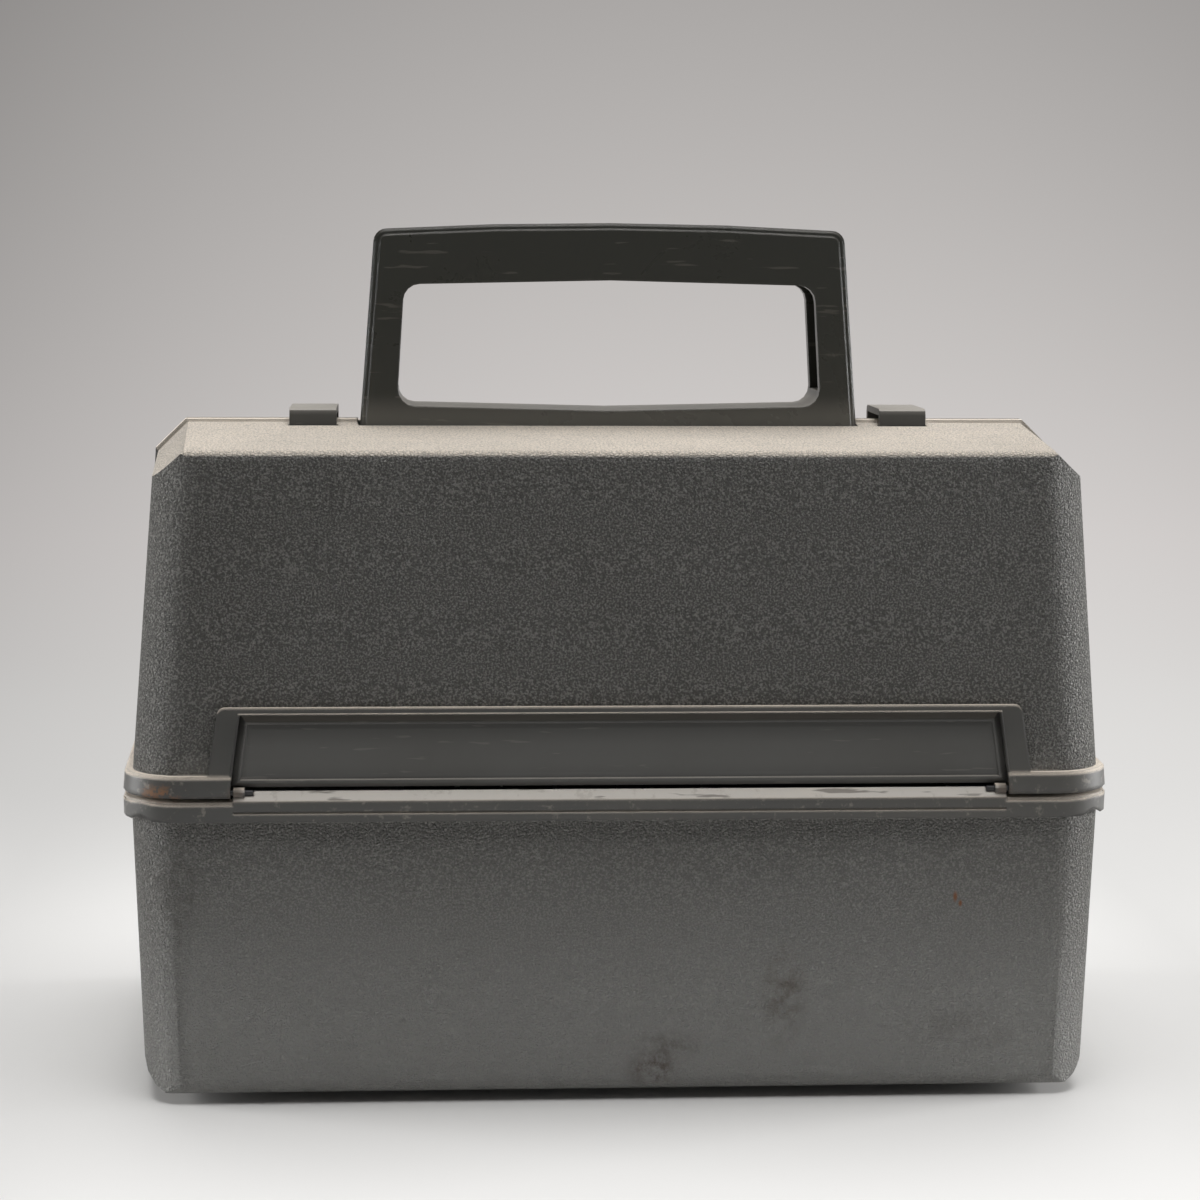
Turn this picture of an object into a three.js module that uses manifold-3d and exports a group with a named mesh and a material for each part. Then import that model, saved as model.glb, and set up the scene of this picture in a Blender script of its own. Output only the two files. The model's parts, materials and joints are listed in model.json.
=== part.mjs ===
import * as THREE from "three";
import { mergeVertices } from "three/addons/utils/BufferGeometryUtils.js";
import Module from "manifold-3d";

const wasm = await Module();
wasm.setup();

// Sizes are in millimetres. X runs to the right, Y to the back, Z up.
// The two covers meet on the plane Y = 0 and the feet stand on Z = 0.

// Clearances
const fitGap = 0.3;
const slideGap = 0.4;
const looseGap = 0.8;
const cutMargin = 4;
const partingSnap = 0.01;

// Case
const caseHalfWidth = 138.9;
const caseHalfDepth = 77;
const cornerRadius = 13;
const caseBottom = 2.6;
const lowerTop = 88.4;
const seamGap = 0.9;
const coverTop = 187;
const wall = 2.5;
const lowerWall = 2.8;
const topSideChamfer = 8.5;
const topFrontRadius = 3.5;
const bottomSideRadius = 9;
const bottomFrontRadius = 5;
const sideFlare = 6.5;
const topRise = 3.4;
const coverSideInset = 7.3;
const coverFrontInset = 2.9;
const lowerSideInset = 3;
const lowerFrontInset = 1.2;

// Places that follow the case, as shares of its half width and half depth
const widthShares = { ledge: 0.787, post: 0.85, foot: 0.806, rib: 0.446, flange: 0.69, lamp: 0.4536,
  fan: 0.4464, spacer: 0.806, core: -0.533, switch: 0.821, inlet: 0.6623, terminal: -0.36, vent: 0.288,
  house: 0.2088, barrel: 0.216 };
const depthShares = { axis: -0.4935, post: 0.675, foot: 0.4935, houseFront: -0.818, houseBack: -0.104,
  mirror: 0.2727, heatGlass: 0.2987, slide: 0.3247, shaftBack: -0.304, cheekBack: -0.338,
  cheekFront: -0.649, knobFront: -0.904, knobBack: -0.753, switch: -0.312, terminal: 0.4675 };

// Bands along the seam and beads along the parting plane
const upperBandHeight = 6.3;
const lowerBandHeight = 4.1;
const bandProud = 2.3;
const bandEdge = 0.6;
const rimProud = 0.8;
const rimDepth = 3;
const rimEdge = 0.4;

// Ledge of the lower case in the notch of the front band
const ledgeHalfLength = caseHalfWidth * widthShares.ledge;
const ledgeBackProud = 0.2;
const ledgeTopRise = 2.8;
const ledgeFrontRise = 0.2;
const ledgeRootDrop = 1.4;
const ledgeBackRoot = 0.7;
const ledgeGroove = 0.45;
const ledgeGrooveDrop = 1.9;
const notchRise = 3.3;
const notchDepth = 7.5;

// Name frame and bare panel
const frameRise = 26.6;
const frameTop = lowerTop + frameRise;
const frameOverTop = 4.3;
const frameOverBottom = 6.6;
const frameHalfTop = ledgeHalfLength + frameOverTop;
const frameHalfBottom = ledgeHalfLength + frameOverBottom;
const frameProud = 1.5;
const frameSideWidth = 6.4;
const frameTopWidth = 2.2;
const frameCorner = 4;
const panelSink = 1.1;
const panelGroove = 2.2;
const panelThickness = 2;
const panelCorner = 3;
const panelLip = 0.9;
const panelLipProud = 0.6;

// Handle
const handleHalfDepth = 13;
const handleHalfTop = 70.2;
const handleHalfBase = 75.4;
const handleRise = 63;
const handleTop = coverTop + handleRise;
const handleCrown = 2.1;
const handleDrop = 6.6;
const handleBottom = coverTop - handleDrop;
const handleCorner = 4;
const handleEdge = 1.8;
const holeHalfTop = 61.4;
const holeHalfBase = 63.6;
const holeTopRise = 44.6;
const holeTop = coverTop + holeTopRise;
const holeRise = 8.6;
const holeBottom = coverTop + holeRise;
const holeCrown = 1.4;
const holeCorner = 5;
const gripPocket = 4.5;
const gripLip = 4;

// Cover catches
const catchCentre = 88.6;
const catchWidth = 14;
const catchHalfDepth = 13;
const catchRise = 7.8;
const catchTop = coverTop + catchRise;
const catchSheet = 2;
const catchTipGap = 0.5;
const catchLift = 4;
const catchFootWidth = 20;
const catchFootDepth = 8;

// Front cover hinge
const hingeInset = 1.5;
const hingeRise = 1.5;
const hingePinRadius = 0.8;
const hingePinLength = 11;
const hingeEarRadius = 1.5;
const hingeEarLength = 3.2;

// Sheet-metal frame
const plateHalf = 1;
const plateEdgeInset = 1.2;
const plateFootInset = 6;
const plateFlangeDepth = 14;
const plateFlangeThickness = 2;
const plateFlangeHalf = caseHalfWidth * widthShares.flange;
const bridgeHalf = 66;
const bridgeDepth = 11;
const bridgeDrop = 2.4;
const deckThickness = 1.5;
const deckDrop = 4.4;
const deckTop = lowerTop - deckDrop;
const postRadius = 5;
const postX = caseHalfWidth * widthShares.post;
const postY = caseHalfDepth * depthShares.post;
const screwRadius = 1.8;
const screwHeadRadius = 3.5;
const screwHeadHeight = 2.2;
const screwLength = 9;

// Optical axis
const axisY = caseHalfDepth * depthShares.axis;
const axisRise = 46;
const axisZ = deckTop + axisRise;

// Lamp house
const lampX = caseHalfWidth * widthShares.lamp;
const houseHalf = caseHalfWidth * widthShares.house;
const houseLeft = lampX - houseHalf;
const houseRight = lampX + houseHalf;
const houseFront = caseHalfDepth * depthShares.houseFront;
const houseBack = caseHalfDepth * depthShares.houseBack;
const houseDrop = 21;
const houseTop = coverTop - houseDrop;
const houseSheet = 1.2;
const houseFlange = 6;
const houseWindow = 20;
const louvreHeight = 3;
const louvrePitch = 7;
const louvreHalf = 20;
const louvreCount = 4;
const airWindowHalf = 13;
const airWindowRise = 9;
const airWindowLow = deckTop + airWindowRise;
const airWindowReach = 21;
const airWindowHigh = deckTop + airWindowReach;
const lidRise = 7;
const lidOverlap = 3;
const lidSlotPitch = 9;
const lidSlotWidth = 3.5;
const lidSlotCount = 5;
const lidSlotHalf = 20;
const socketRadius = 15;
const socketHeight = 14;
const socketWell = 10.4;
const socketWellDepth = 8;
const lampBaseRadius = 10;
const lampBaseHeight = 16;
const bulbRadius = 14;
const bulbGlass = 0.9;
const bulbNeck = 9;
const bulbNeckHeight = 6;
const bulbRise = 24;
const bulbTop = axisZ + bulbRise;
const filamentHalf = 5;
const filamentWire = 0.7;
const stemRadius = 4;
const mirrorRadius = caseHalfDepth * depthShares.mirror;
const mirrorBow = 7;
const mirrorSheet = 1.2;
const mirrorStud = 3;
const mirrorBehind = 19;
const mirrorX = lampX + mirrorBehind;
const heatGlassHalf = caseHalfDepth * depthShares.heatGlass;
const heatGlassThickness = 3;
const clipWidth = 8;
const clipReach = 4;

// Condenser
const condenserLength = 24;
const condenserGap = 5;
const condenserRight = houseLeft - condenserGap;
const condenserLeft = condenserRight - condenserLength;
const condenserOuter = 26.5;
const condenserInner = 24;
const condenserLip = 1.4;
const condenserBow = 7;
const condenserRim = 2.4;
const pedestalHalf = 11;
const pedestalInset = 4;

// Slide gate, slide and lifter
const gateGap = 6;
const gateRight = condenserLeft - gateGap;
const gateThickness = 9.4;
const gateRise = 25.6;
const gateTop = axisZ + gateRise;
const gateFoot = 6;
const slideHalf = caseHalfDepth * depthShares.slide;
const gateWall = 3.6;
const gateHalfWidth = slideHalf + gateWall;
const slideThickness = 2.4;
const slideWindowHalfWidth = 17.5;
const slideWindowHalfHeight = 11.5;
const filmThickness = 0.4;
const gateApertureHalfWidth = 18.5;
const gateApertureHalfHeight = 12.5;
const lifterHeight = 3;
const lifterTravel = 20;
const lifterKnobReach = 3.4;
const lifterKnobHalf = 5;

// Projection lens and focus drive
const sleeveGap = 17;
const sleeveLength = 44;
const sleeveRight = gateRight - sleeveGap;
const sleeveLeft = sleeveRight - sleeveLength;
const sleeveOuter = 25;
const barrelOuter = 22.2;
const barrelInner = 19;
const barrelOut = caseHalfWidth * widthShares.barrel;
const barrelIn = 6;
const barrelLeft = sleeveLeft - barrelOut;
const barrelRight = sleeveRight - barrelIn;
const barrelCollar = 24.4;
const barrelCollarLength = 5;
const barrelTravel = 18;
const lensBow = 4;
const lensRim = 2;
const lensShares = [0.06, 0.5, 0.9];
const sleeveFootLength = 8;
const rollerX = (sleeveLeft + sleeveRight) / 2;
const rollerRadius = 6;
const rollerHalf = 8;
const focusShaft = 2;
const focusShaftBack = caseHalfDepth * depthShares.shaftBack;
const cheekBack = caseHalfDepth * depthShares.cheekBack;
const cheekFront = caseHalfDepth * depthShares.cheekFront;
const cheekSheet = 2;
const cheekHalf = 7;
const cheekRise = 4;
const knobRadius = 13;
const knobFront = caseHalfDepth * depthShares.knobFront;
const knobBack = caseHalfDepth * depthShares.knobBack;
const knobGrips = 24;
const knobGripDepth = 0.8;
const rollerWindowHalf = 8.5;

// Blower behind the plate
const fanX = caseHalfWidth * widthShares.fan;
const fanDrop = 2;
const fanZ = axisZ - fanDrop;
const motorRadius = 15;
const motorLength = 22;
const motorShaft = 1.6;
const wheelFront = 12;
const wheelBack = 40;
const wheelOuter = 27;
const wheelInner = 20;
const wheelDisc = 2;
const wheelBlades = 16;
const bladeSheet = 1.2;
const hubRadius = 5;
const hubLength = 7;
const scrollBack = 45;
const scrollSmall = 30;
const scrollLarge = 36;
const scrollSheet = 1.5;
const scrollInlet = 21;
const scrollSteps = 28;

// Rear spacers that hold the rear cover
const spacerX = caseHalfWidth * widthShares.spacer;
const spacerZ = axisZ;
const spacerRadius = 4.5;
const spacerSetback = 11;
const spacerLength = caseHalfDepth - spacerSetback;
const bossRadius = 7;
const bossDepth = 4.6;
const headSink = 1.7;

// Transformer
const coreX = caseHalfWidth * widthShares.core;
const coreHalfWidth = 32;
const coreHalfStack = 20;
const coreLow = 10;
const coreHigh = 64;
const coreLegHalf = 10;
const coreWindow = 12;
const coreYoke = 10;
const coilOverhang = 11;
const strapHalf = 42;
const strapThickness = 3.4;

// Switch, inlet and terminals
const switchX = caseHalfWidth * widthShares.switch;
const switchY = caseHalfDepth * depthShares.switch;
const switchHalf = 12;
const switchDepth = 16;
const switchBush = 4.6;
const switchKnobRadius = 11;
const switchKnobHeight = 13;
const switchPointer = 2;
const inletX = caseHalfWidth * widthShares.inlet;
const inletZ = 44;
const inletHalfWidth = 14;
const inletHalfHeight = 10;
const inletDepth = 16;
const inletFlange = 3;
const inletFlangeSheet = 1.4;
const inletWall = 2;
const inletPinRadius = 2;
const inletPinSpacing = 6.5;
const terminalX = caseHalfWidth * widthShares.terminal;
const terminalY = caseHalfDepth * depthShares.terminal;
const terminalHalf = 24;
const terminalDepth = 7;
const terminalHeight = 11;
const terminalCount = 4;
const terminalScrew = 2.6;

// Rear louvres and bottom vents
const ventCount = 7;
const ventPitch = 9;
const ventHeight = 3.4;
const ventHalf = 34;
const ventLow = 104;
const floorVentCount = 6;
const floorVentPitch = 10;
const floorVentHalfWidth = 2;
const floorVentHalfLength = 26;
const floorVentX = caseHalfWidth * widthShares.vent;

// Ribs
const ribThickness = 1.8;
const ribDepth = 3.5;
const ribX = caseHalfWidth * widthShares.rib;

// Feet
const footX = caseHalfWidth * widthShares.foot;
const footY = caseHalfDepth * depthShares.foot;
const footRadius = 9;
const footHeight = 2.3;
const footTaper = 0.8;
const footStem = 3.2;
const footBarb = 4.6;
const footBarbHeight = 1.5;

// Facets
const roundSides = 28;
const smallSides = 12;
const bendSteps = 2;
const footSides = 20;
const cornerSteps = 4;

// Derived levels
const coverBottom = lowerTop + seamGap;
const cornerLine = caseHalfDepth - cornerRadius;
const deckBottom = deckTop - deckThickness;
const floorTop = caseBottom + lowerWall;
const faceOut = caseHalfDepth + bandProud;

// Solid helpers
function asSolid(geometry) {
  const bare = geometry.clone();
  bare.deleteAttribute("normal");
  bare.deleteAttribute("uv");
  const merged = mergeVertices(bare, 1e-4);
  const corners = merged.index.array;
  const kept = [];
  for (let i = 0; i < corners.length; i += 3) {
    const [a, b, c] = [corners[i], corners[i + 1], corners[i + 2]];
    if (a !== b && b !== c && c !== a) kept.push(a, b, c);
  }
  return new wasm.Manifold(new wasm.Mesh({
    numProp: 3,
    vertProperties: new Float32Array(merged.attributes.position.array),
    triVerts: new Uint32Array(kept),
  }));
}

function block(x0, x1, y0, y1, z0, z1) {
  const shape = new THREE.BoxGeometry(x1 - x0, y1 - y0, z1 - z0);
  shape.translate((x0 + x1) / 2, (y0 + y1) / 2, (z0 + z1) / 2);
  return asSolid(shape);
}

// A rod along an axis; a and b are its centre on the other two axes in X, Y, Z order.
function rod(axis, a, b, low, high, radius, sides = roundSides) {
  const shape = new THREE.CylinderGeometry(radius, radius, high - low, sides);
  const middle = (low + high) / 2;
  if (axis === "x") shape.rotateZ(-Math.PI / 2).translate(middle, a, b);
  if (axis === "y") shape.translate(a, middle, b);
  if (axis === "z") shape.rotateX(Math.PI / 2).translate(a, b, middle);
  return asSolid(shape);
}

// A turned solid; profile points are [radius, distance along the axis].
function turned(axis, a, b, profile, sides = roundSides) {
  const points = profile.map(([r, h]) => new THREE.Vector2(r, h));
  const shape = new THREE.LatheGeometry(points, sides);
  if (axis === "x") shape.rotateZ(-Math.PI / 2).translate(0, a, b);
  if (axis === "y") shape.translate(a, 0, b);
  if (axis === "z") shape.rotateX(Math.PI / 2).translate(a, b, 0);
  const solid = asSolid(shape);
  if (solid.volume() > 0) return solid;
  const index = shape.index.array;
  for (let i = 0; i < index.length; i += 3) {
    [index[i], index[i + 1]] = [index[i + 1], index[i]];
  }
  return asSolid(shape);
}

// A closed outline with its corners rounded; radii has one value for each corner.
function rounded(points, radii, steps = cornerSteps) {
  const out = [];
  const count = points.length;
  for (let i = 0; i < count; i += 1) {
    const here = new THREE.Vector2(...points[i]);
    const before = new THREE.Vector2(...points[(i + count - 1) % count]).sub(here).normalize();
    const after = new THREE.Vector2(...points[(i + 1) % count]).sub(here).normalize();
    const radius = radii[i];
    if (!(radius > 0)) {
      out.push(here);
      continue;
    }
    const half = Math.acos(before.dot(after)) / 2;
    const reach = radius / Math.tan(half);
    const middle = before.clone().add(after).normalize();
    const centre = here.clone().addScaledVector(middle, radius / Math.sin(half));
    const first = here.clone().addScaledVector(before, reach).sub(centre);
    const last = here.clone().addScaledVector(after, reach).sub(centre);
    let turn = last.angle() - first.angle();
    if (turn > Math.PI) turn -= 2 * Math.PI;
    if (turn < -Math.PI) turn += 2 * Math.PI;
    for (let k = 0; k <= steps; k += 1) {
      const angle = first.angle() + turn * k / steps;
      out.push(new THREE.Vector2(
        centre.x + radius * Math.cos(angle),
        centre.y + radius * Math.sin(angle),
      ));
    }
  }
  return out;
}

// An outline pushed along one axis. The outline is in XY, XZ or YZ.
function prism(outline, plane, low, high, holes = []) {
  const shape = new THREE.Shape(outline.map((p) => new THREE.Vector2(p.x ?? p[0], p.y ?? p[1])));
  for (const hole of holes) shape.holes.push(new THREE.Path(hole));
  const solid = new THREE.ExtrudeGeometry(shape, { depth: high - low, bevelEnabled: false });
  const basis = new THREE.Matrix4();
  if (plane === "xy") basis.makeTranslation(0, 0, low);
  if (plane === "xz") basis.set(1, 0, 0, 0, 0, 0, -1, high, 0, 1, 0, 0, 0, 0, 0, 1);
  if (plane === "yz") basis.set(0, 0, 1, low, 1, 0, 0, 0, 0, 1, 0, 0, 0, 0, 0, 1);
  return asSolid(solid.applyMatrix4(basis));
}

function joined(list) {
  return list.reduce((sum, solid) => sum.add(solid));
}

function reshaped(solid, move) {
  const mesh = solid.getMesh();
  const data = new Float32Array(mesh.vertProperties);
  for (let i = 0; i < data.length; i += 3) {
    const [x, y, z] = move(data[i], data[i + 1], data[i + 2]);
    data.set([x, y, z], i);
  }
  return new wasm.Manifold(new wasm.Mesh({ numProp: 3, vertProperties: data, triVerts: mesh.triVerts }));
}

function mirroredY(solid) {
  const mesh = solid.getMesh();
  const data = new Float32Array(mesh.vertProperties);
  const corners = new Uint32Array(mesh.triVerts);
  for (let i = 1; i < data.length; i += 3) data[i] = -data[i];
  for (let i = 0; i < corners.length; i += 3) {
    [corners[i], corners[i + 1]] = [corners[i + 1], corners[i]];
  }
  return new wasm.Manifold(new wasm.Mesh({ numProp: 3, vertProperties: data, triVerts: corners }));
}

// Draft of the covers: narrower to the top and to the front, top rising to the parting plane.
function coverDraft(x, y, z) {
  const share = (z - coverBottom) / (coverTop - coverBottom);
  const inward = (cornerLine - Math.abs(y)) / cornerLine;
  const wider = 1 + (sideFlare * inward - coverSideInset * share) / caseHalfWidth;
  const nearer = 1 - coverFrontInset * share / caseHalfDepth;
  return [x * wider, y * nearer, z + share * topRise * inward];
}

// Draft of the lower case: narrower to the bottom.
function lowerDraft(x, away, z) {
  const y = Math.abs(away) < partingSnap ? 0 : away;
  const share = (lowerTop - z) / (lowerTop - caseBottom);
  const inward = (cornerLine - Math.abs(y)) / cornerLine;
  const wider = 1 + (sideFlare * inward - lowerSideInset * share) / caseHalfWidth;
  return [x * wider, y * (1 - lowerFrontInset * share / caseHalfDepth), z];
}

function planOutline(grow) {
  const w = caseHalfWidth + grow;
  const d = caseHalfDepth + grow;
  const r = Math.max(cornerRadius + grow, fitGap);
  return rounded([[-w, -d], [0, -d], [w, -d], [w, 0], [w, d], [0, d], [-w, d], [-w, 0]],
    [r, 0, r, 0, r, 0, r, 0], cornerSteps + 2);
}

function coverProfile(grow) {
  const w = caseHalfWidth + grow;
  const t = coverTop + grow;
  const c = topSideChamfer;
  return [[-w, coverBottom - cutMargin], [w, coverBottom - cutMargin], [w, t - c],
    [w - c, t], [c - w, t], [-w, t - c]];
}

function coverShape(grow, bottom) {
  const deep = caseHalfDepth + grow;
  const high = coverTop + grow;
  const across = prism(coverProfile(grow), "xz", -deep - cutMargin, cutMargin);
  const plan = prism(planOutline(grow), "xy", bottom, high + cutMargin);
  const side = prism(rounded([[-deep, bottom - cutMargin], [cutMargin, bottom - cutMargin],
    [cutMargin, high], [-deep, high]], [0, 0, 0, topFrontRadius]), "yz",
  -caseHalfWidth - cutMargin, caseHalfWidth + cutMargin);
  return across.intersect(plan).intersect(side);
}

const group = new THREE.Group();
group.name = "slide_projector";
const paints = {
  case_plastic: [0x5b5853, 0.62, 0],
  panel_plastic: [0x57554f, 0.4, 0],
  handle_plastic: [0x45443c, 0.35, 0],
  sheet_steel: [0xa4a6a4, 0.42, 0.9],
  black_metal: [0x2b2b2c, 0.5, 0.4],
  bright_metal: [0xc4c3be, 0.25, 1],
  brass_metal: [0xb08d4c, 0.35, 1],
  clear_glass: [0xdfe7ea, 0.08, 0],
  knob_plastic: [0x2a2a2a, 0.4, 0],
  rubber: [0x1d1d1e, 0.85, 0],
  copper_wire: [0xa0522d, 0.5, 0.6],
  card: [0xd8d5ca, 0.8, 0],
};

function addNode(name, solid, slot) {
  const mesh = solid.getMesh();
  const shape = new THREE.BufferGeometry();
  shape.setAttribute("position", new THREE.BufferAttribute(new Float32Array(mesh.vertProperties), 3));
  shape.setIndex(new THREE.BufferAttribute(new Uint32Array(mesh.triVerts), 1));
  shape.computeVertexNormals();
  const [color, roughness, metalness] = paints[slot];
  const paint = new THREE.MeshStandardMaterial({ color, roughness, metalness });
  paint.name = slot;
  const node = new THREE.Mesh(shape, paint);
  node.name = name;
  group.add(node);
}

// Cover shell shared by front and rear
function coverShell() {
  const bandTop = coverBottom + upperBandHeight;
  const outer = coverShape(0, coverBottom);
  const band = prism(planOutline(bandProud - bandEdge), "xy", coverBottom, bandTop)
    .add(prism(planOutline(bandProud), "xy", coverBottom + bandEdge, bandTop - bandEdge));
  const rimBack = plateHalf + fitGap;
  const rimFront = rimBack + rimDepth;
  const above = block(-faceOut * 2, faceOut * 2, -faceOut, 0, coverBottom, coverTop * 2);
  const rim = prism(coverProfile(rimProud - rimEdge), "xz", -rimFront, -rimBack)
    .add(prism(coverProfile(rimProud), "xz", -rimFront + rimEdge, -rimBack - rimEdge)).intersect(above);
  const body = joined([outer, band, rim]);
  const inner = coverShape(-wall, coverBottom - cutMargin);
  const behind = block(-faceOut * 3, faceOut * 3, -rimBack, faceOut * 2, 0, coverTop * 2);
  const reach = handleHalfBase + looseGap;
  const handleNotch = block(-reach, reach, -handleHalfDepth - looseGap, cutMargin,
    coverTop - topSideChamfer, coverTop + topRise + cutMargin);
  const ribs = joined([-1, 1].map((side) => {
    const x = side * ribX;
    return block(x - ribThickness / 2, x + ribThickness / 2, -caseHalfDepth + wall / 2,
      -caseHalfDepth + wall + ribDepth, coverBottom + upperBandHeight * 4, coverTop - wall / 2)
      .add(block(x - ribThickness / 2, x + ribThickness / 2, -caseHalfDepth + wall / 2,
        -handleHalfDepth * 2, coverTop - wall - ribDepth, coverTop - wall / 2));
  }));
  return body.subtract(inner).add(ribs).subtract(behind).subtract(handleNotch);
}

const notchTop = coverBottom + notchRise;
const hingeY = -faceOut + hingeInset;
const hingeZ = coverBottom + hingeRise;
const pinGap = hingePinRadius + fitGap;

function frameOutline(grow, bottom) {
  const lower = frameHalfBottom + grow;
  const upper = frameHalfTop + grow;
  return rounded([[-lower, bottom], [lower, bottom], [upper, frameTop + grow * frameTopWidth / frameSideWidth],
    [-upper, frameTop + grow * frameTopWidth / frameSideWidth]], [0, 0, frameCorner, frameCorner]);
}

// Front cover with the name frame, the notch for the ledge and the slots of the catches
function frontCover() {
  const frame = prism(frameOutline(0, coverBottom + bandEdge), "xz",
    -caseHalfDepth - frameProud, -caseHalfDepth + wall / 2);
  const recess = prism(frameOutline(-frameSideWidth, coverBottom - cutMargin), "xz",
    -faceOut - cutMargin, -caseHalfDepth + panelSink);
  const backing = block(-frameHalfTop, frameHalfTop, -caseHalfDepth + wall / 2,
    -caseHalfDepth + wall + panelSink, notchTop, frameTop);
  const notch = block(-ledgeHalfLength - looseGap, ledgeHalfLength + looseGap, -faceOut - cutMargin,
    -caseHalfDepth + notchDepth, coverBottom - cutMargin, notchTop);
  const slots = joined([-1, 1].map((side) => {
    const x = side * catchCentre;
    const half = catchWidth / 2 + slideGap;
    return block(x - half, x + half, -catchHalfDepth - slideGap,
      -catchHalfDepth + catchSheet + slideGap, coverTop - ribDepth, coverTop * 2);
  }));
  const pins = joined([-1, 1].map((side) => {
    const near = side * (ledgeHalfLength - hingeEarLength);
    const far = side * (ledgeHalfLength + hingePinLength / 2 + fitGap);
    return rod("x", hingeY, hingeZ, Math.min(near, far), Math.max(near, far), pinGap, smallSides);
  }));
  const shell = coverShell().add(frame).add(backing).subtract(recess);
  return reshaped(shell, coverDraft).subtract(joined([notch, slots, pins]));
}

function rearCover() {
  const vents = joined(Array.from({ length: ventCount }, (_, i) => {
    const z = ventLow + i * ventPitch;
    return block(fanX - ventHalf, fanX + ventHalf, -caseHalfDepth - cutMargin,
      -caseHalfDepth + wall + ribDepth, z, z + ventHeight);
  }));
  const hoods = joined(Array.from({ length: ventCount }, (_, i) => {
    const z = ventLow + i * ventPitch + ventHeight;
    const half = ventHalf + ribThickness;
    return prism([[-caseHalfDepth - bandProud / 2, z - ventHeight / 3],
      [-caseHalfDepth + wall / 2, z], [-caseHalfDepth + wall / 2, z + ventHeight / 2],
      [-caseHalfDepth - bandProud / 2, z - ventHeight / 3 + bandEdge]], "yz", fanX - half, fanX + half);
  }));
  const bosses = joined([-1, 1].map((side) => rod("y", side * spacerX, spacerZ,
    -caseHalfDepth + wall / 2, -caseHalfDepth + wall + bossDepth, bossRadius)));
  const shell = coverShell().subtract(vents).add(hoods).add(bosses);
  return reshaped(shell, coverDraft);
}

function outerFaceY(z) {
  return caseHalfDepth - coverFrontInset * (z - coverBottom) / (coverTop - coverBottom);
}
const headSeat = outerFaceY(spacerZ) - headSink - screwHeadHeight / 2;

const rearShell = mirroredY(rearCover());
const rearDrills = joined([-1, 1].map((side) => rod("y", side * spacerX, spacerZ,
  spacerLength, faceOut, screwRadius + fitGap, smallSides)
  .add(rod("y", side * spacerX, spacerZ, headSeat, faceOut, screwHeadRadius + fitGap))));
addNode("front_cover", frontCover(), "case_plastic");
addNode("rear_cover", rearShell.subtract(rearDrills), "case_plastic");

// Name panel, a bare plate with a lip along its lower edge
const panelLow = notchTop + fitGap;
const panelHigh = frameTop - frameTopWidth - panelGroove;
const panelHalf = frameHalfTop - frameSideWidth - panelGroove;
function panelSolid() {
  const back = caseHalfDepth - panelSink - fitGap;
  const outline = rounded([[-panelHalf - panelGroove / 2, panelLow], [panelHalf + panelGroove / 2, panelLow],
    [panelHalf, panelHigh], [-panelHalf, panelHigh]], [0, 0, panelCorner, panelCorner]);
  const field = rounded([[-panelHalf, panelLow + panelLip], [panelHalf, panelLow + panelLip],
    [panelHalf - panelLip, panelHigh - panelLip], [panelLip - panelHalf, panelHigh - panelLip]],
  [0, 0, panelCorner, panelCorner]);
  const plate = prism(outline, "xz", -back - panelThickness, -back - fitGap);
  const sunk = prism(field, "xz", -back - panelThickness - cutMargin, -back - panelThickness + panelLipProud);
  return reshaped(plate.subtract(sunk), coverDraft);
}
addNode("name_panel", panelSolid(), "panel_plastic");

// Lower case
function lowerShape(grow, bottom, high) {
  const w = caseHalfWidth + grow;
  const d = caseHalfDepth + grow;
  const plan = prism(planOutline(grow), "xy", bottom, high);
  const across = prism(rounded([[-w, bottom], [w, bottom], [w, high + cutMargin], [-w, high + cutMargin]],
    [bottomSideRadius, bottomSideRadius, 0, 0]), "xz", -d - cutMargin, d + cutMargin);
  const side = prism(rounded([[-d, bottom], [d, bottom], [d, high + cutMargin], [-d, high + cutMargin]],
    [bottomFrontRadius, bottomFrontRadius, 0, 0]), "yz", -w - cutMargin, w + cutMargin);
  return plan.intersect(across).intersect(side);
}

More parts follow.
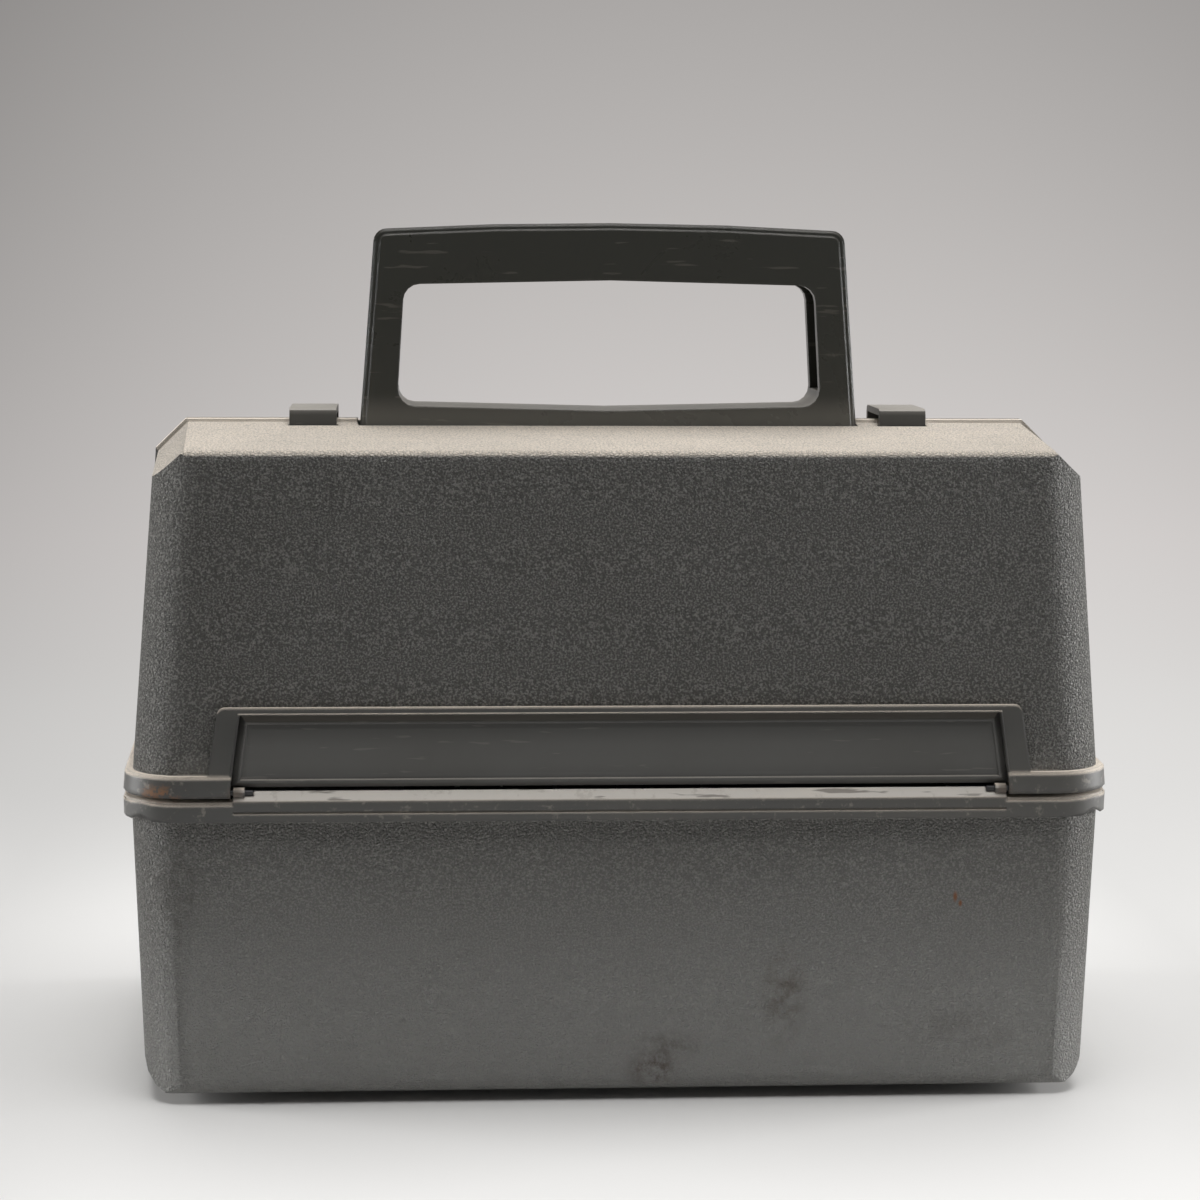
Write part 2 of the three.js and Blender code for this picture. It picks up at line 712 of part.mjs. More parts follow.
const corners = [[-1, -1, "front_left"], [1, -1, "front_right"], [1, 1, "rear_right"],
  [-1, 1, "rear_left"]];
function lowerCase() {
  const outer = lowerShape(0, caseBottom, lowerTop);
  const band = prism(planOutline(bandProud), "xy", lowerTop - lowerBandHeight, lowerTop - bandEdge)
    .add(prism(planOutline(bandProud - bandEdge), "xy", lowerTop - lowerBandHeight, lowerTop));
  const inner = lowerShape(-lowerWall, floorTop, lowerTop + cutMargin);
  const shell = outer.add(band).subtract(inner);
  const posts = joined(corners.map(([i, j]) => rod("z", i * postX, j * postY,
    floorTop - lowerWall / 2, deckBottom - fitGap, postRadius, smallSides)));
  const ribs = joined([-1, 1].flatMap((side) => [-1, 0, 1].map((k) => {
    const x = k * ribX;
    const from = side * (caseHalfDepth - lowerWall - ribDepth);
    const to = side * (caseHalfDepth - lowerWall / 2);
    return block(x - ribThickness / 2, x + ribThickness / 2, Math.min(from, to), Math.max(from, to),
      floorTop + bottomFrontRadius, deckBottom - ribDepth);
  })));
  const ribbed = shell.add(ribs);
  const drafted = joined([[-1, 0], [0, 1]].map(([from, to]) => reshaped(ribbed.intersect(
    block(-faceOut * 2, faceOut * 2, from * faceOut * 2, to * faceOut * 2, 0, lowerTop * 2)), lowerDraft)));
  const ledgeInner = -caseHalfDepth + lowerWall;
  const ledge = prism([[-faceOut, lowerTop - ledgeRootDrop], [ledgeInner, lowerTop - ledgeRootDrop],
    [ledgeInner, lowerTop + ledgeBackRoot], [-caseHalfDepth - ledgeBackProud, lowerTop + ledgeTopRise],
    [-faceOut, lowerTop + ledgeFrontRise]], "yz", -ledgeHalfLength, ledgeHalfLength);
  const groove = block(-ledgeHalfLength, ledgeHalfLength, -faceOut - cutMargin, ledgeGroove - faceOut,
    lowerTop - ledgeGrooveDrop - ledgeGroove, lowerTop - ledgeGrooveDrop);
  const ears = joined([-1, 1].map((side) => {
    const end = side * ledgeHalfLength;
    const start = end - side * hingeEarLength;
    return rod("x", hingeY, hingeZ, Math.min(start, end), Math.max(start, end), hingeEarRadius, smallSides)
      .subtract(block(-faceOut * 2, faceOut * 2, -faceOut * 2, 0, 0, lowerTop - ledgeRootDrop));
  }));
  const bores = joined([-1, 1].map((side) => {
    const near = side * (ledgeHalfLength - hingePinLength / 2 - fitGap);
    const far = side * (ledgeHalfLength + cutMargin);
    return rod("x", hingeY, hingeZ, Math.min(near, far), Math.max(near, far), pinGap, smallSides);
  }));
  const vents = joined(Array.from({ length: floorVentCount }, (_, i) => {
    const x = floorVentX + i * floorVentPitch;
    return block(x - floorVentHalfWidth, x + floorVentHalfWidth, -floorVentHalfLength,
      floorVentHalfLength, 0, floorTop + cutMargin);
  }));
  const feet = joined(corners.map(([i, j]) => rod("z", i * footX, j * footY,
    0, floorTop + cutMargin, footStem + fitGap, smallSides)));
  const inletW = inletHalfWidth + fitGap;
  const inletH = inletHalfHeight + fitGap;
  const inletCut = block(inletX - inletW, inletX + inletW, caseHalfDepth - lowerWall - ribDepth,
    caseHalfDepth + cutMargin, inletZ - inletH, inletZ + inletH);
  const drills = joined(corners.map(([i, j]) => rod("z", i * postX, j * postY,
    deckBottom - screwLength, lowerTop, screwRadius + fitGap, smallSides)));
  return joined([drafted, ledge, ears, posts]).subtract(groove).subtract(bores).subtract(vents)
    .subtract(feet).subtract(inletCut).subtract(drills);
}
addNode("lower_case", lowerCase(), "case_plastic");

const sides = [[-1, "left"], [1, "right"]];
for (const [side, place] of sides) {
  const near = side * (ledgeHalfLength - hingePinLength / 2);
  const far = side * (ledgeHalfLength + hingePinLength / 2);
  addNode(`hinge_pin_${place}`, rod("x", hingeY, hingeZ, Math.min(near, far), Math.max(near, far),
    hingePinRadius, smallSides), "black_metal");
}

for (const [i, j, place] of corners) {
  addNode(`foot_${place}`, turned("z", i * footX, j * footY, [
    [0, 0], [footRadius - footTaper, 0], [footRadius, footHeight], [footStem, footHeight],
    [footStem, floorTop + fitGap], [footBarb, floorTop + fitGap],
    [footStem, floorTop + fitGap + footBarbHeight], [0, floorTop + fitGap + footBarbHeight]],
  footSides), "rubber");
}

// Deck plate with its openings
function deckPlate() {
  const grow = -lowerWall - looseGap;
  const plate = reshaped(prism(planOutline(grow), "xy", deckBottom, deckTop), lowerDraft);
  const holes = [
    rod("z", switchX, switchY, 0, coverTop, switchBush + fitGap, smallSides),
    block(lampX - houseWindow, lampX + houseWindow, axisY - socketRadius * 1.8,
      axisY - socketRadius * 1.3, 0, coverTop),
    block(terminalX - terminalHalf, terminalX, terminalY + terminalDepth * 2,
      terminalY + terminalDepth * 3, 0, coverTop),
  ];
  const drills = corners.map(([i, j]) => rod("z", i * postX, j * postY, 0, coverTop,
    screwRadius + fitGap, smallSides));
  return plate.subtract(joined([...holes, ...drills]));
}
addNode("deck_plate", deckPlate(), "sheet_steel");

function screwUpright(x, y, under) {
  return turned("z", x, y, [[0, under - screwLength], [screwRadius, under - screwLength],
    [screwRadius, under], [screwHeadRadius, under], [screwHeadRadius, under + screwHeadHeight / 2],
    [screwRadius, under + screwHeadHeight], [0, under + screwHeadHeight]], smallSides);
}
for (const [side, place] of sides) {
  addNode(`deck_screw_${place}`, screwUpright(side * postX, postY, deckTop + fitGap), "bright_metal");
}

// Mechanism plate between the covers
const plateFoot = deckTop + fitGap;
const flangeTop = plateFoot + plateFlangeThickness;
const bridgeTop = handleBottom - fitGap;
function mechanismPlate() {
  const w = caseHalfWidth - plateEdgeInset;
  const t = coverTop - plateEdgeInset;
  const c = topSideChamfer;
  const narrow = caseHalfWidth - plateFootInset;
  const outline = [[-narrow, plateFoot], [narrow, plateFoot], [narrow, coverBottom + fitGap],
    [w, coverBottom + fitGap], [w, t - c], [w - c, t], [c - w, t], [-w, t - c],
    [-w, coverBottom + fitGap], [-narrow, coverBottom + fitGap]];
  const sheet = reshaped(prism(outline, "xz", -plateHalf, plateHalf), coverDraft);
  const reach = handleHalfBase + looseGap;
  const flange = block(-plateFlangeHalf, plateFlangeHalf, 0, plateHalf + plateFlangeDepth,
    plateFoot, flangeTop);
  const bridge = block(-bridgeHalf, bridgeHalf, -bridgeDepth, bridgeDepth,
    bridgeTop - bridgeDrop, bridgeTop);
  const gap = block(-reach, reach, -faceOut, faceOut, bridgeTop, coverTop * 2);
  const catches = joined([-1, 1].map((side) => block(side * catchCentre - catchWidth,
    side * catchCentre + catchWidth, -faceOut, faceOut, coverTop + topRise / 4, coverTop * 2)));
  const window = block(lampX - airWindowHalf, lampX + airWindowHalf, -cutMargin, cutMargin,
    airWindowLow, airWindowHigh);
  const spacerHoles = joined([-1, 1].map((side) => rod("y", side * spacerX, spacerZ,
    -cutMargin, cutMargin, screwRadius + fitGap, smallSides)));
  const motorHole = rod("y", fanX, fanZ, -cutMargin, cutMargin, motorShaft * 2, smallSides);
  const bridgeDrills = joined(handleScrews.map(([x, y]) => rod("z", x, y, bridgeTop - cutMargin,
    bridgeTop + cutMargin, screwRadius + fitGap, smallSides)));
  return joined([sheet.subtract(gap), flange, bridge]).subtract(catches).subtract(window)
    .subtract(spacerHoles).subtract(motorHole).subtract(bridgeDrills);
}
const handleScrewX = 52;
const handleScrewY = 6;
const handleScrews = sides.map(([side]) => [side * handleScrewX, side * handleScrewY]);
addNode("mechanism_plate", mechanismPlate(), "sheet_steel");

// Handle, a closed loop with a pocket behind its lips
function handleLoop(grow) {
  const top = handleTop + grow - handleCrown;
  const half = handleHalfTop + grow;
  const base = handleHalfBase + grow;
  const r = handleCorner + grow;
  return rounded([[-base, handleBottom - grow], [base, handleBottom - grow], [half, top],
    [half / 2, top + handleCrown * 0.75], [0, top + handleCrown],
    [-half / 2, top + handleCrown * 0.75], [-half, top]], [0, 0, r, 0, 0, 0, r], cornerSteps + 1);
}

function handleHole(side, rise) {
  const top = holeTop + rise;
  const half = holeHalfTop + side;
  const base = holeHalfBase + side;
  return rounded([[-base, holeBottom], [0, holeBottom - holeCrown], [base, holeBottom], [half, top],
    [0, top + holeCrown], [-half, top]], [holeCorner, 0, holeCorner, holeCorner, 0, holeCorner]);
}

function handleSolid() {
  const inset = handleEdge;
  const full = prism(handleLoop(0), "xz", inset - handleHalfDepth, handleHalfDepth - inset);
  const middle = prism(handleLoop(-inset * 0.3), "xz", inset * 0.3 - handleHalfDepth,
    handleHalfDepth - inset * 0.3);
  const face = prism(handleLoop(-inset), "xz", -handleHalfDepth, handleHalfDepth);
  const hole = prism(handleHole(0, 0), "xz", -faceOut, faceOut);
  const lip = gripLip - handleHalfDepth;
  const pocket = prism(handleHole(gripPocket, gripPocket * 1.4), "xz", lip, -lip)
    .intersect(block(-faceOut, faceOut, -faceOut, faceOut, holeBottom + gripPocket, handleTop * 2));
  const drills = joined(handleScrews.map(([x, y]) => rod("z", x, y, handleBottom - cutMargin,
    handleBottom + screwLength, screwRadius + fitGap, smallSides)));
  return joined([full, middle, face]).subtract(hole).subtract(pocket).subtract(drills);
}
addNode("handle", handleSolid(), "handle_plastic");
const bridgeUnder = bridgeTop - bridgeDrop - fitGap;
handleScrews.forEach(([x, y], i) => addNode(`handle_screw_${sides[i][1]}`, turned("z", x, y, [
  [0, bridgeUnder - screwHeadHeight], [screwHeadRadius, bridgeUnder - screwHeadHeight],
  [screwHeadRadius, bridgeUnder], [screwRadius, bridgeUnder],
  [screwRadius, bridgeUnder + screwLength], [0, bridgeUnder + screwLength]], smallSides), "bright_metal"));

// Catches that straddle the beads of both covers
const topAtCatch = coverTop + topRise * (cornerLine - catchHalfDepth) / cornerLine;
const catchFootTop = topAtCatch - wall - catchLift - fitGap * 2;
function catchSolid(side) {
  const x0 = side * catchCentre - catchWidth / 2;
  const x1 = side * catchCentre + catchWidth / 2;
  const d = catchHalfDepth;
  const s = catchSheet;
  const tip = topAtCatch + catchTipGap;
  const strap = prism(rounded([[-d, catchFootTop - s], [s - d, catchFootTop - s],
    [s - d, catchTop - s], [d - s, catchTop - s], [d - s, tip], [d, tip], [d, catchTop], [-d, catchTop]],
  [0, 0, 0, 0, 0, 0, s, s], bendSteps), "yz", x0, x1);
  const foot = block(side * catchCentre - catchFootWidth / 2, side * catchCentre + catchFootWidth / 2,
    -d - (catchFootDepth - s) / 2, s - d + (catchFootDepth - s) / 2, catchFootTop - s, catchFootTop);
  return strap.add(foot);
}
addNode("catch_left", catchSolid(-1), "panel_plastic");
addNode("catch_right", catchSolid(1), "panel_plastic");

// Rear spacers and screws of the rear cover
const spacerStart = plateHalf + fitGap;
const screwEnd = headSeat + fitGap + screwHeadHeight / 2;
for (const [side, place] of sides) {
  const x = side * spacerX;
  addNode(`rear_spacer_${place}`, rod("y", x, spacerZ, spacerStart, spacerLength, spacerRadius, smallSides)
    .subtract(rod("y", x, spacerZ, spacerLength - screwLength * 1.4, spacerLength + cutMargin,
      screwRadius + fitGap, smallSides)), "sheet_steel");
  addNode(`rear_cover_screw_${place}`, rod("y", x, spacerZ, spacerLength - screwLength, screwEnd,
    screwRadius, smallSides).add(rod("y", x, spacerZ, headSeat + fitGap, screwEnd, screwHeadRadius,
    smallSides)), "bright_metal");
}

// Lamp house, lid, socket, lamp and mirror
const houseFoot = deckTop + fitGap;
function lampHouse() {
  const s = houseSheet;
  const outer = block(houseLeft, houseRight, houseFront, houseBack, houseFoot, houseTop);
  const inner = block(houseLeft + s, houseRight - s, houseFront + s, houseBack - s, 0, houseTop + cutMargin);
  const flange = block(houseLeft - houseFlange, houseRight + houseFlange, houseFront, houseBack,
    houseFoot, houseFoot + s).subtract(block(houseLeft, houseRight, houseFront * 2, 0, 0, houseTop));
  const light = rod("x", axisY, axisZ, houseLeft - cutMargin, houseLeft + cutMargin, houseWindow);
  const air = block(lampX - airWindowHalf, lampX + airWindowHalf, houseBack - cutMargin,
    houseBack + cutMargin, airWindowLow, airWindowHigh);
  const vents = joined(Array.from({ length: louvreCount }, (_, i) => {
    const z = houseTop - louvrePitch * (i + 1.5);
    return block(lampX - louvreHalf, lampX + louvreHalf, houseFront - cutMargin,
      houseFront + cutMargin, z, z + louvreHeight);
  }));
  const shelf = block(houseLeft, houseLeft + s * 2 + heatGlassThickness, axisY - clipWidth,
    axisY + clipWidth, axisZ - heatGlassHalf - fitGap - clipReach, axisZ - heatGlassHalf - fitGap);
  const tabs = [houseLeft - houseFlange / 2, houseRight + houseFlange / 2].map((x) => rod("z", x, axisY,
    houseFoot - cutMargin, houseFoot + cutMargin, screwRadius + fitGap, smallSides));
  const stud = rod("x", axisY, axisZ, houseRight - cutMargin, houseRight + cutMargin,
    mirrorStud / 2 + fitGap, smallSides);
  return outer.subtract(inner).add(flange).add(shelf).subtract(joined([light, air, vents, stud, ...tabs]));
}
addNode("lamp_house", lampHouse(), "black_metal");

function houseLid() {
  const s = houseSheet;
  const gap = fitGap;
  const low = houseTop - lidOverlap;
  const outer = block(houseLeft - gap - s, houseRight + gap + s, houseFront - gap - s,
    houseBack + gap + s, low, houseTop + lidRise);
  const inner = block(houseLeft - gap, houseRight + gap, houseFront - gap, houseBack + gap,
    low - cutMargin, houseTop + lidRise - s);
  const slots = joined(Array.from({ length: lidSlotCount }, (_, i) => {
    const x = lampX + (i - (lidSlotCount - 1) / 2) * lidSlotPitch;
    return block(x - lidSlotWidth / 2, x + lidSlotWidth / 2, axisY - lidSlotHalf, axisY + lidSlotHalf,
      houseTop, houseTop + lidRise + cutMargin);
  }));
  const rest = block(houseLeft - gap - s, houseLeft + cutMargin, houseFront - gap - s,
    houseBack + gap + s, houseTop + gap, houseTop + gap + s)
    .add(block(houseRight - cutMargin, houseRight + gap + s, houseFront - gap - s,
      houseBack + gap + s, houseTop + gap, houseTop + gap + s));
  return outer.subtract(inner).add(rest).subtract(slots);
}
addNode("lamp_house_lid", houseLid(), "black_metal");

const socketTop = deckTop + fitGap + socketHeight;
addNode("lamp_socket", turned("z", lampX, axisY, [[0, deckTop + fitGap], [socketRadius, deckTop + fitGap],
  [socketRadius, socketTop], [socketWell, socketTop], [socketWell, socketTop - socketWellDepth],
  [0, socketTop - socketWellDepth]]), "card");
const lampSeat = socketTop - socketWellDepth + fitGap;
const bulbFoot = lampSeat + lampBaseHeight;
addNode("lamp_base", turned("z", lampX, axisY, [[0, lampSeat], [lampBaseRadius, lampSeat],
  [lampBaseRadius, bulbFoot], [0, bulbFoot]]), "brass_metal");

function bulbWall(inset) {
  const r = bulbRadius - inset;
  const neck = bulbNeck - inset;
  const top = bulbTop - inset;
  const low = bulbFoot + fitGap;
  return [[neck, low], [neck, low + bulbNeckHeight / 2], [r, low + bulbNeckHeight * 1.5],
    [r, top - r], [r * 0.87, top - r / 2], [r / 2, top - r * 0.13], [0, top]];
}
addNode("lamp_bulb", turned("z", lampX, axisY,
  [...bulbWall(0), ...bulbWall(bulbGlass).reverse(), bulbWall(0)[0]], 24), "clear_glass");
const stemTop = axisZ - filamentHalf * 2;
function filamentSolid() {
  const stem = rod("z", lampX, axisY, bulbFoot + fitGap, stemTop, stemRadius, smallSides);
  const legs = [-1, 1].map((side) => rod("z", lampX, axisY + side * (stemRadius - filamentWire),
    stemTop - cutMargin, axisZ + filamentHalf, filamentWire, 8));
  const coil = rod("y", lampX, axisZ + filamentHalf - filamentWire, axisY - stemRadius,
    axisY + stemRadius, filamentWire * 1.6, 8);
  return joined([stem, ...legs, coil]);
}
addNode("lamp_filament", filamentSolid(), "bright_metal");

function bowl(at, radius, bow, sheet, steps) {
  const front = [];
  const back = [];
  for (let i = 0; i <= steps; i += 1) {
    const share = i / steps;
    front.push([radius * share, at + bow * (1 - share * share)]);
    back.push([radius * share, at + bow * (1 - share * share) + sheet]);
  }
  return [...front, ...back.reverse()];
}
const mirrorBack = mirrorX + mirrorBow;
addNode("lamp_mirror", turned("x", axisY, axisZ, bowl(mirrorX - mirrorBow, mirrorRadius, mirrorBow,
  mirrorSheet, 5)).add(rod("x", axisY, axisZ, mirrorX, houseRight + mirrorStud,
  mirrorStud / 2, smallSides)), "bright_metal");

const heatLeft = houseLeft + houseSheet + fitGap;
addNode("heat_glass", block(heatLeft, heatLeft + heatGlassThickness, axisY - heatGlassHalf,
  axisY + heatGlassHalf, axisZ - heatGlassHalf, axisZ + heatGlassHalf), "clear_glass");
// Condenser
function condenserHolder() {
  const tube = rod("x", axisY, axisZ, condenserLeft, condenserRight, condenserOuter);
  const bore = rod("x", axisY, axisZ, condenserLeft - cutMargin, condenserRight + cutMargin,
    condenserInner + fitGap);
  const middle = (condenserLeft + condenserRight) / 2;
  const ring = rod("x", axisY, axisZ, middle - condenserLip, middle + condenserLip, condenserInner + fitGap * 2)
    .subtract(rod("x", axisY, axisZ, middle - cutMargin, middle + cutMargin, condenserInner - condenserLip));
  const stand = block(condenserLeft + pedestalInset, condenserRight - pedestalInset,
    axisY - pedestalHalf, axisY + pedestalHalf, deckTop + fitGap, axisZ);
  return tube.add(stand).subtract(bore).add(ring);
}
addNode("condenser_holder", condenserHolder(), "black_metal");

function lensProfile(flat, direction, radius, bow, rim, steps = 4) {
  const points = [[0, flat], [radius, flat]];
  for (let i = steps; i >= 0; i -= 1) {
    const share = i / steps;
    points.push([radius * share, flat + direction * (rim + bow * (1 - share * share))]);
  }
  return points;
}
const condenserMiddle = (condenserLeft + condenserRight) / 2;
addNode("condenser_lens_lamp", turned("x", axisY, axisZ, lensProfile(condenserMiddle + condenserLip
  + condenserRim + condenserBow + fitGap, -1, condenserInner, condenserBow, condenserRim)), "clear_glass");
addNode("condenser_lens_gate", turned("x", axisY, axisZ, lensProfile(condenserMiddle - condenserLip
  - condenserRim - condenserBow - fitGap, 1, condenserInner, condenserBow, condenserRim)), "clear_glass");

// Slide gate with the slide and its lifter
const slotMiddle = gateRight - gateThickness / 2;
const slotHalf = slideThickness / 2 + slideGap;
const slideLow = axisZ - slideHalf;
const slotLow = slideLow - lifterHeight - fitGap * 2;
function slideGate() {
  const left = gateRight - gateThickness;
  const body = block(left, gateRight, axisY - gateHalfWidth, axisY + gateHalfWidth,
    deckTop + fitGap, gateTop);
  const foot = block(left - gateFoot, gateRight, axisY - gateHalfWidth, axisY + gateHalfWidth,
    deckTop + fitGap, deckTop + fitGap + houseSheet * 2);
  const slot = block(slotMiddle - slotHalf, slotMiddle + slotHalf, axisY - slideHalf - slideGap,
    axisY + slideHalf + slideGap, slotLow, gateTop + cutMargin);
  const aperture = block(left - cutMargin, gateRight + cutMargin, axisY - gateApertureHalfWidth,
    axisY + gateApertureHalfWidth, axisZ - gateApertureHalfHeight, axisZ + gateApertureHalfHeight);
  const side = block(slotMiddle - slotHalf, slotMiddle + slotHalf, axisY - gateHalfWidth - cutMargin,
    axisY - slideHalf, slotLow, slotLow + lifterTravel + lifterHeight + slideGap * 2);
  const lower = block(left - cutMargin, gateRight + cutMargin, axisY - gateHalfWidth / 2,
    axisY + gateHalfWidth / 2, deckTop + cutMargin * 2, slotLow - cutMargin);
  return body.add(foot).subtract(joined([slot, aperture, side, lower]));
}
addNode("slide_gate", slideGate(), "black_metal");

const slideLeft = slotMiddle - slideThickness / 2;
const slideRight = slotMiddle + slideThickness / 2;
addNode("slide_mount", block(slideLeft, slideRight, axisY - slideHalf, axisY + slideHalf,
  slideLow, slideLow + slideHalf * 2).subtract(block(slideLeft - cutMargin, slideRight + cutMargin,
  axisY - slideWindowHalfWidth, axisY + slideWindowHalfWidth, axisZ - slideWindowHalfHeight,
  axisZ + slideWindowHalfHeight)), "card");
addNode("slide_film", block(slotMiddle - filmThickness / 2, slotMiddle + filmThickness / 2,
  axisY - slideWindowHalfWidth + fitGap, axisY + slideWindowHalfWidth - fitGap,
  axisZ - slideWindowHalfHeight + fitGap, axisZ + slideWindowHalfHeight - fitGap), "knob_plastic");

const lifterTop = slideLow - fitGap;
const lifterLow = lifterTop - lifterHeight;
function lifterSolid() {
  const outside = axisY - gateHalfWidth - fitGap;
  const bar = block(slideLeft, slideRight, outside - lifterKnobReach / 2, axisY + slideHalf - slideGap,
    lifterLow, lifterTop);
  const knob = block(slotMiddle - lifterKnobHalf, slotMiddle + lifterKnobHalf, outside - lifterKnobReach,
    outside, lifterLow - lifterKnobHalf / 3, lifterTop + lifterKnobHalf / 3);
  return bar.add(knob);
}
addNode("slide_lifter", lifterSolid(), "bright_metal");

// Projection lens
const sleeveInner = barrelOuter + slideGap;
function lensSleeve() {
  const tube = rod("x", axisY, axisZ, sleeveLeft, sleeveRight, sleeveOuter);
  const bore = rod("x", axisY, axisZ, sleeveLeft - cutMargin, sleeveRight + cutMargin, sleeveInner);
  const feet = [sleeveLeft + fitGap, sleeveRight - sleeveFootLength - fitGap].map((x) => block(x,
    x + sleeveFootLength, axisY - pedestalHalf, axisY + pedestalHalf, deckTop + fitGap, axisZ));
  const tie = block(sleeveLeft + fitGap, sleeveRight - fitGap, axisY - pedestalHalf,
    axisY + pedestalHalf, deckTop + fitGap, deckTop + fitGap + houseSheet * 2);
  const window = block(rollerX - rollerWindowHalf, rollerX + rollerWindowHalf,
    (cheekFront + cheekBack) / 2 - rollerHalf - looseGap, (cheekFront + cheekBack) / 2 + rollerHalf + looseGap,
    deckTop + cutMargin * 2, axisZ);
  return joined([tube, tie, ...feet]).subtract(bore).subtract(window);
}
addNode("lens_sleeve", lensSleeve(), "black_metal");

function lensBarrel() {
  const tube = rod("x", axisY, axisZ, barrelLeft, barrelRight, barrelOuter)
    .add(rod("x", axisY, axisZ, barrelLeft, barrelLeft + barrelCollarLength, barrelCollar));
  const bore = rod("x", axisY, axisZ, barrelLeft - cutMargin, barrelRight + cutMargin, barrelInner);
  return tube.subtract(bore);
}
addNode("lens_barrel", lensBarrel(), "bright_metal");
const lensRadius = barrelInner - fitGap;
const barrelLength = barrelRight - barrelLeft;
["front", "middle", "rear"].forEach((place, i) => {
  const at = barrelLeft + barrelLength * lensShares[i];
  const direction = i === 2 ? -1 : 1;
  addNode(`lens_glass_${place}`, turned("x", axisY, axisZ,
    lensProfile(at, direction, lensRadius, lensBow, lensRim), 24), "clear_glass");
});

// Focus roller, shaft, knob and bracket
const rollerZ = axisZ - barrelOuter - fitGap - rollerRadius;
const rollerMiddle = (cheekFront + cheekBack) / 2;
const tieTop = deckTop + fitGap * 2 + houseSheet * 2;
function focusBracket() {
  const sheet = cheekSheet;
  const cheeks = [cheekFront, cheekBack].map((y) => block(rollerX - cheekHalf, rollerX + cheekHalf,
    y - sheet / 2, y + sheet / 2, tieTop, rollerZ + cheekRise));
  const base = block(rollerX - cheekHalf, rollerX + cheekHalf, cheekFront - sheet / 2,
    cheekBack + sheet / 2, tieTop, tieTop + sheet);
  const bore = rod("y", rollerX, rollerZ, cheekFront - cutMargin, cheekBack + cutMargin,
    focusShaft + fitGap, smallSides);
  return joined([...cheeks, base]).subtract(bore);
}
addNode("focus_bracket", focusBracket(), "sheet_steel");
addNode("focus_shaft", rod("y", rollerX, rollerZ, knobBack - cutMargin, focusShaftBack, focusShaft, smallSides),
  "bright_metal");
addNode("focus_roller", rod("y", rollerX, rollerZ, rollerMiddle - rollerHalf, rollerMiddle + rollerHalf,
  rollerRadius, 24).subtract(rod("y", rollerX, rollerZ, cheekFront, cheekBack, focusShaft + fitGap, smallSides)),
"rubber");
function gripRing(axis, a, b, low, high, radius, count, depth) {
  const grips = Array.from({ length: count }, (_, i) => {
    const angle = 2 * Math.PI * i / count;
    const [u, v] = [a + radius * Math.cos(angle), b + radius * Math.sin(angle)];
    return rod(axis, u, v, low, high, depth, 6);
  });
  return joined(grips);
}
function focusKnob() {
  const middle = (knobFront + knobBack) / 2;
  const body = turned("y", rollerX, rollerZ, [[0, knobFront], [knobRadius - knobGripDepth * 2, knobFront],
    [knobRadius, knobFront + knobGripDepth * 2], [knobRadius, middle], [knobRadius * 0.6, middle + knobGripDepth],
    [knobRadius * 0.6, knobBack], [0, knobBack]]);
  const grips = gripRing("y", rollerX, rollerZ, knobFront - cutMargin, middle - knobGripDepth,
    knobRadius, knobGrips, knobGripDepth);
  const bore = rod("y", rollerX, rollerZ, knobBack - cutMargin - fitGap, knobBack + cutMargin,
    focusShaft + fitGap, smallSides);
  return body.subtract(grips).subtract(bore);
}
addNode("focus_knob", focusKnob(), "knob_plastic");

// Blower: motor, wheel and scroll
const motorFront = plateHalf + fitGap;
addNode("fan_motor", rod("y", fanX, fanZ, motorFront, motorFront + motorLength, motorRadius)
  .add(rod("y", fanX, fanZ, motorFront + motorLength - cutMargin, wheelBack - wheelDisc / 2,
    motorShaft, smallSides)), "sheet_steel");
function fanWheel() {
  const disc = rod("y", fanX, fanZ, wheelBack - wheelDisc, wheelBack, wheelOuter);
  const hub = rod("y", fanX, fanZ, wheelBack - hubLength, wheelBack, hubRadius);
  const ring = rod("y", fanX, fanZ, wheelFront, wheelFront + wheelDisc, wheelOuter)
    .subtract(rod("y", fanX, fanZ, 0, wheelBack, wheelInner + bladeSheet));
  const blades = Array.from({ length: wheelBlades }, (_, i) => {
    const blade = new THREE.BoxGeometry(wheelOuter - wheelInner - bladeSheet,
      wheelBack - wheelFront - wheelDisc, bladeSheet);
    blade.rotateY(Math.PI / 5).translate((wheelOuter + wheelInner) / 2, 0, 0);
    blade.rotateY(2 * Math.PI * i / wheelBlades);
    blade.translate(fanX, (wheelFront + wheelBack) / 2, fanZ);
    return asSolid(blade);
  });
  const bore = rod("y", fanX, fanZ, wheelBack - hubLength - cutMargin, wheelBack - wheelDisc / 4,
    motorShaft + fitGap, smallSides);
  return joined([disc, hub, ring, ...blades]).subtract(bore);
}
addNode("fan_wheel", fanWheel(), "sheet_steel");

function scrollOutline(grow) {
  const points = [];
  for (let i = 0; i < scrollSteps; i += 1) {
    const share = i / scrollSteps;
    const radius = scrollSmall + (scrollLarge - scrollSmall) * share + grow;
    const angle = -Math.PI / 2 + 2 * Math.PI * share;
    points.push([fanX + radius * Math.cos(angle), fanZ + radius * Math.sin(angle)]);
  }
  return points;
}
const scrollFront = plateHalf + fitGap;
addNode("fan_scroll", prism(scrollOutline(0), "xz", scrollFront, scrollBack)
  .subtract(prism(scrollOutline(-scrollSheet), "xz", 0, scrollBack - scrollSheet))
  .subtract(rod("y", fanX, fanZ, 0, faceOut, scrollInlet)), "black_metal");

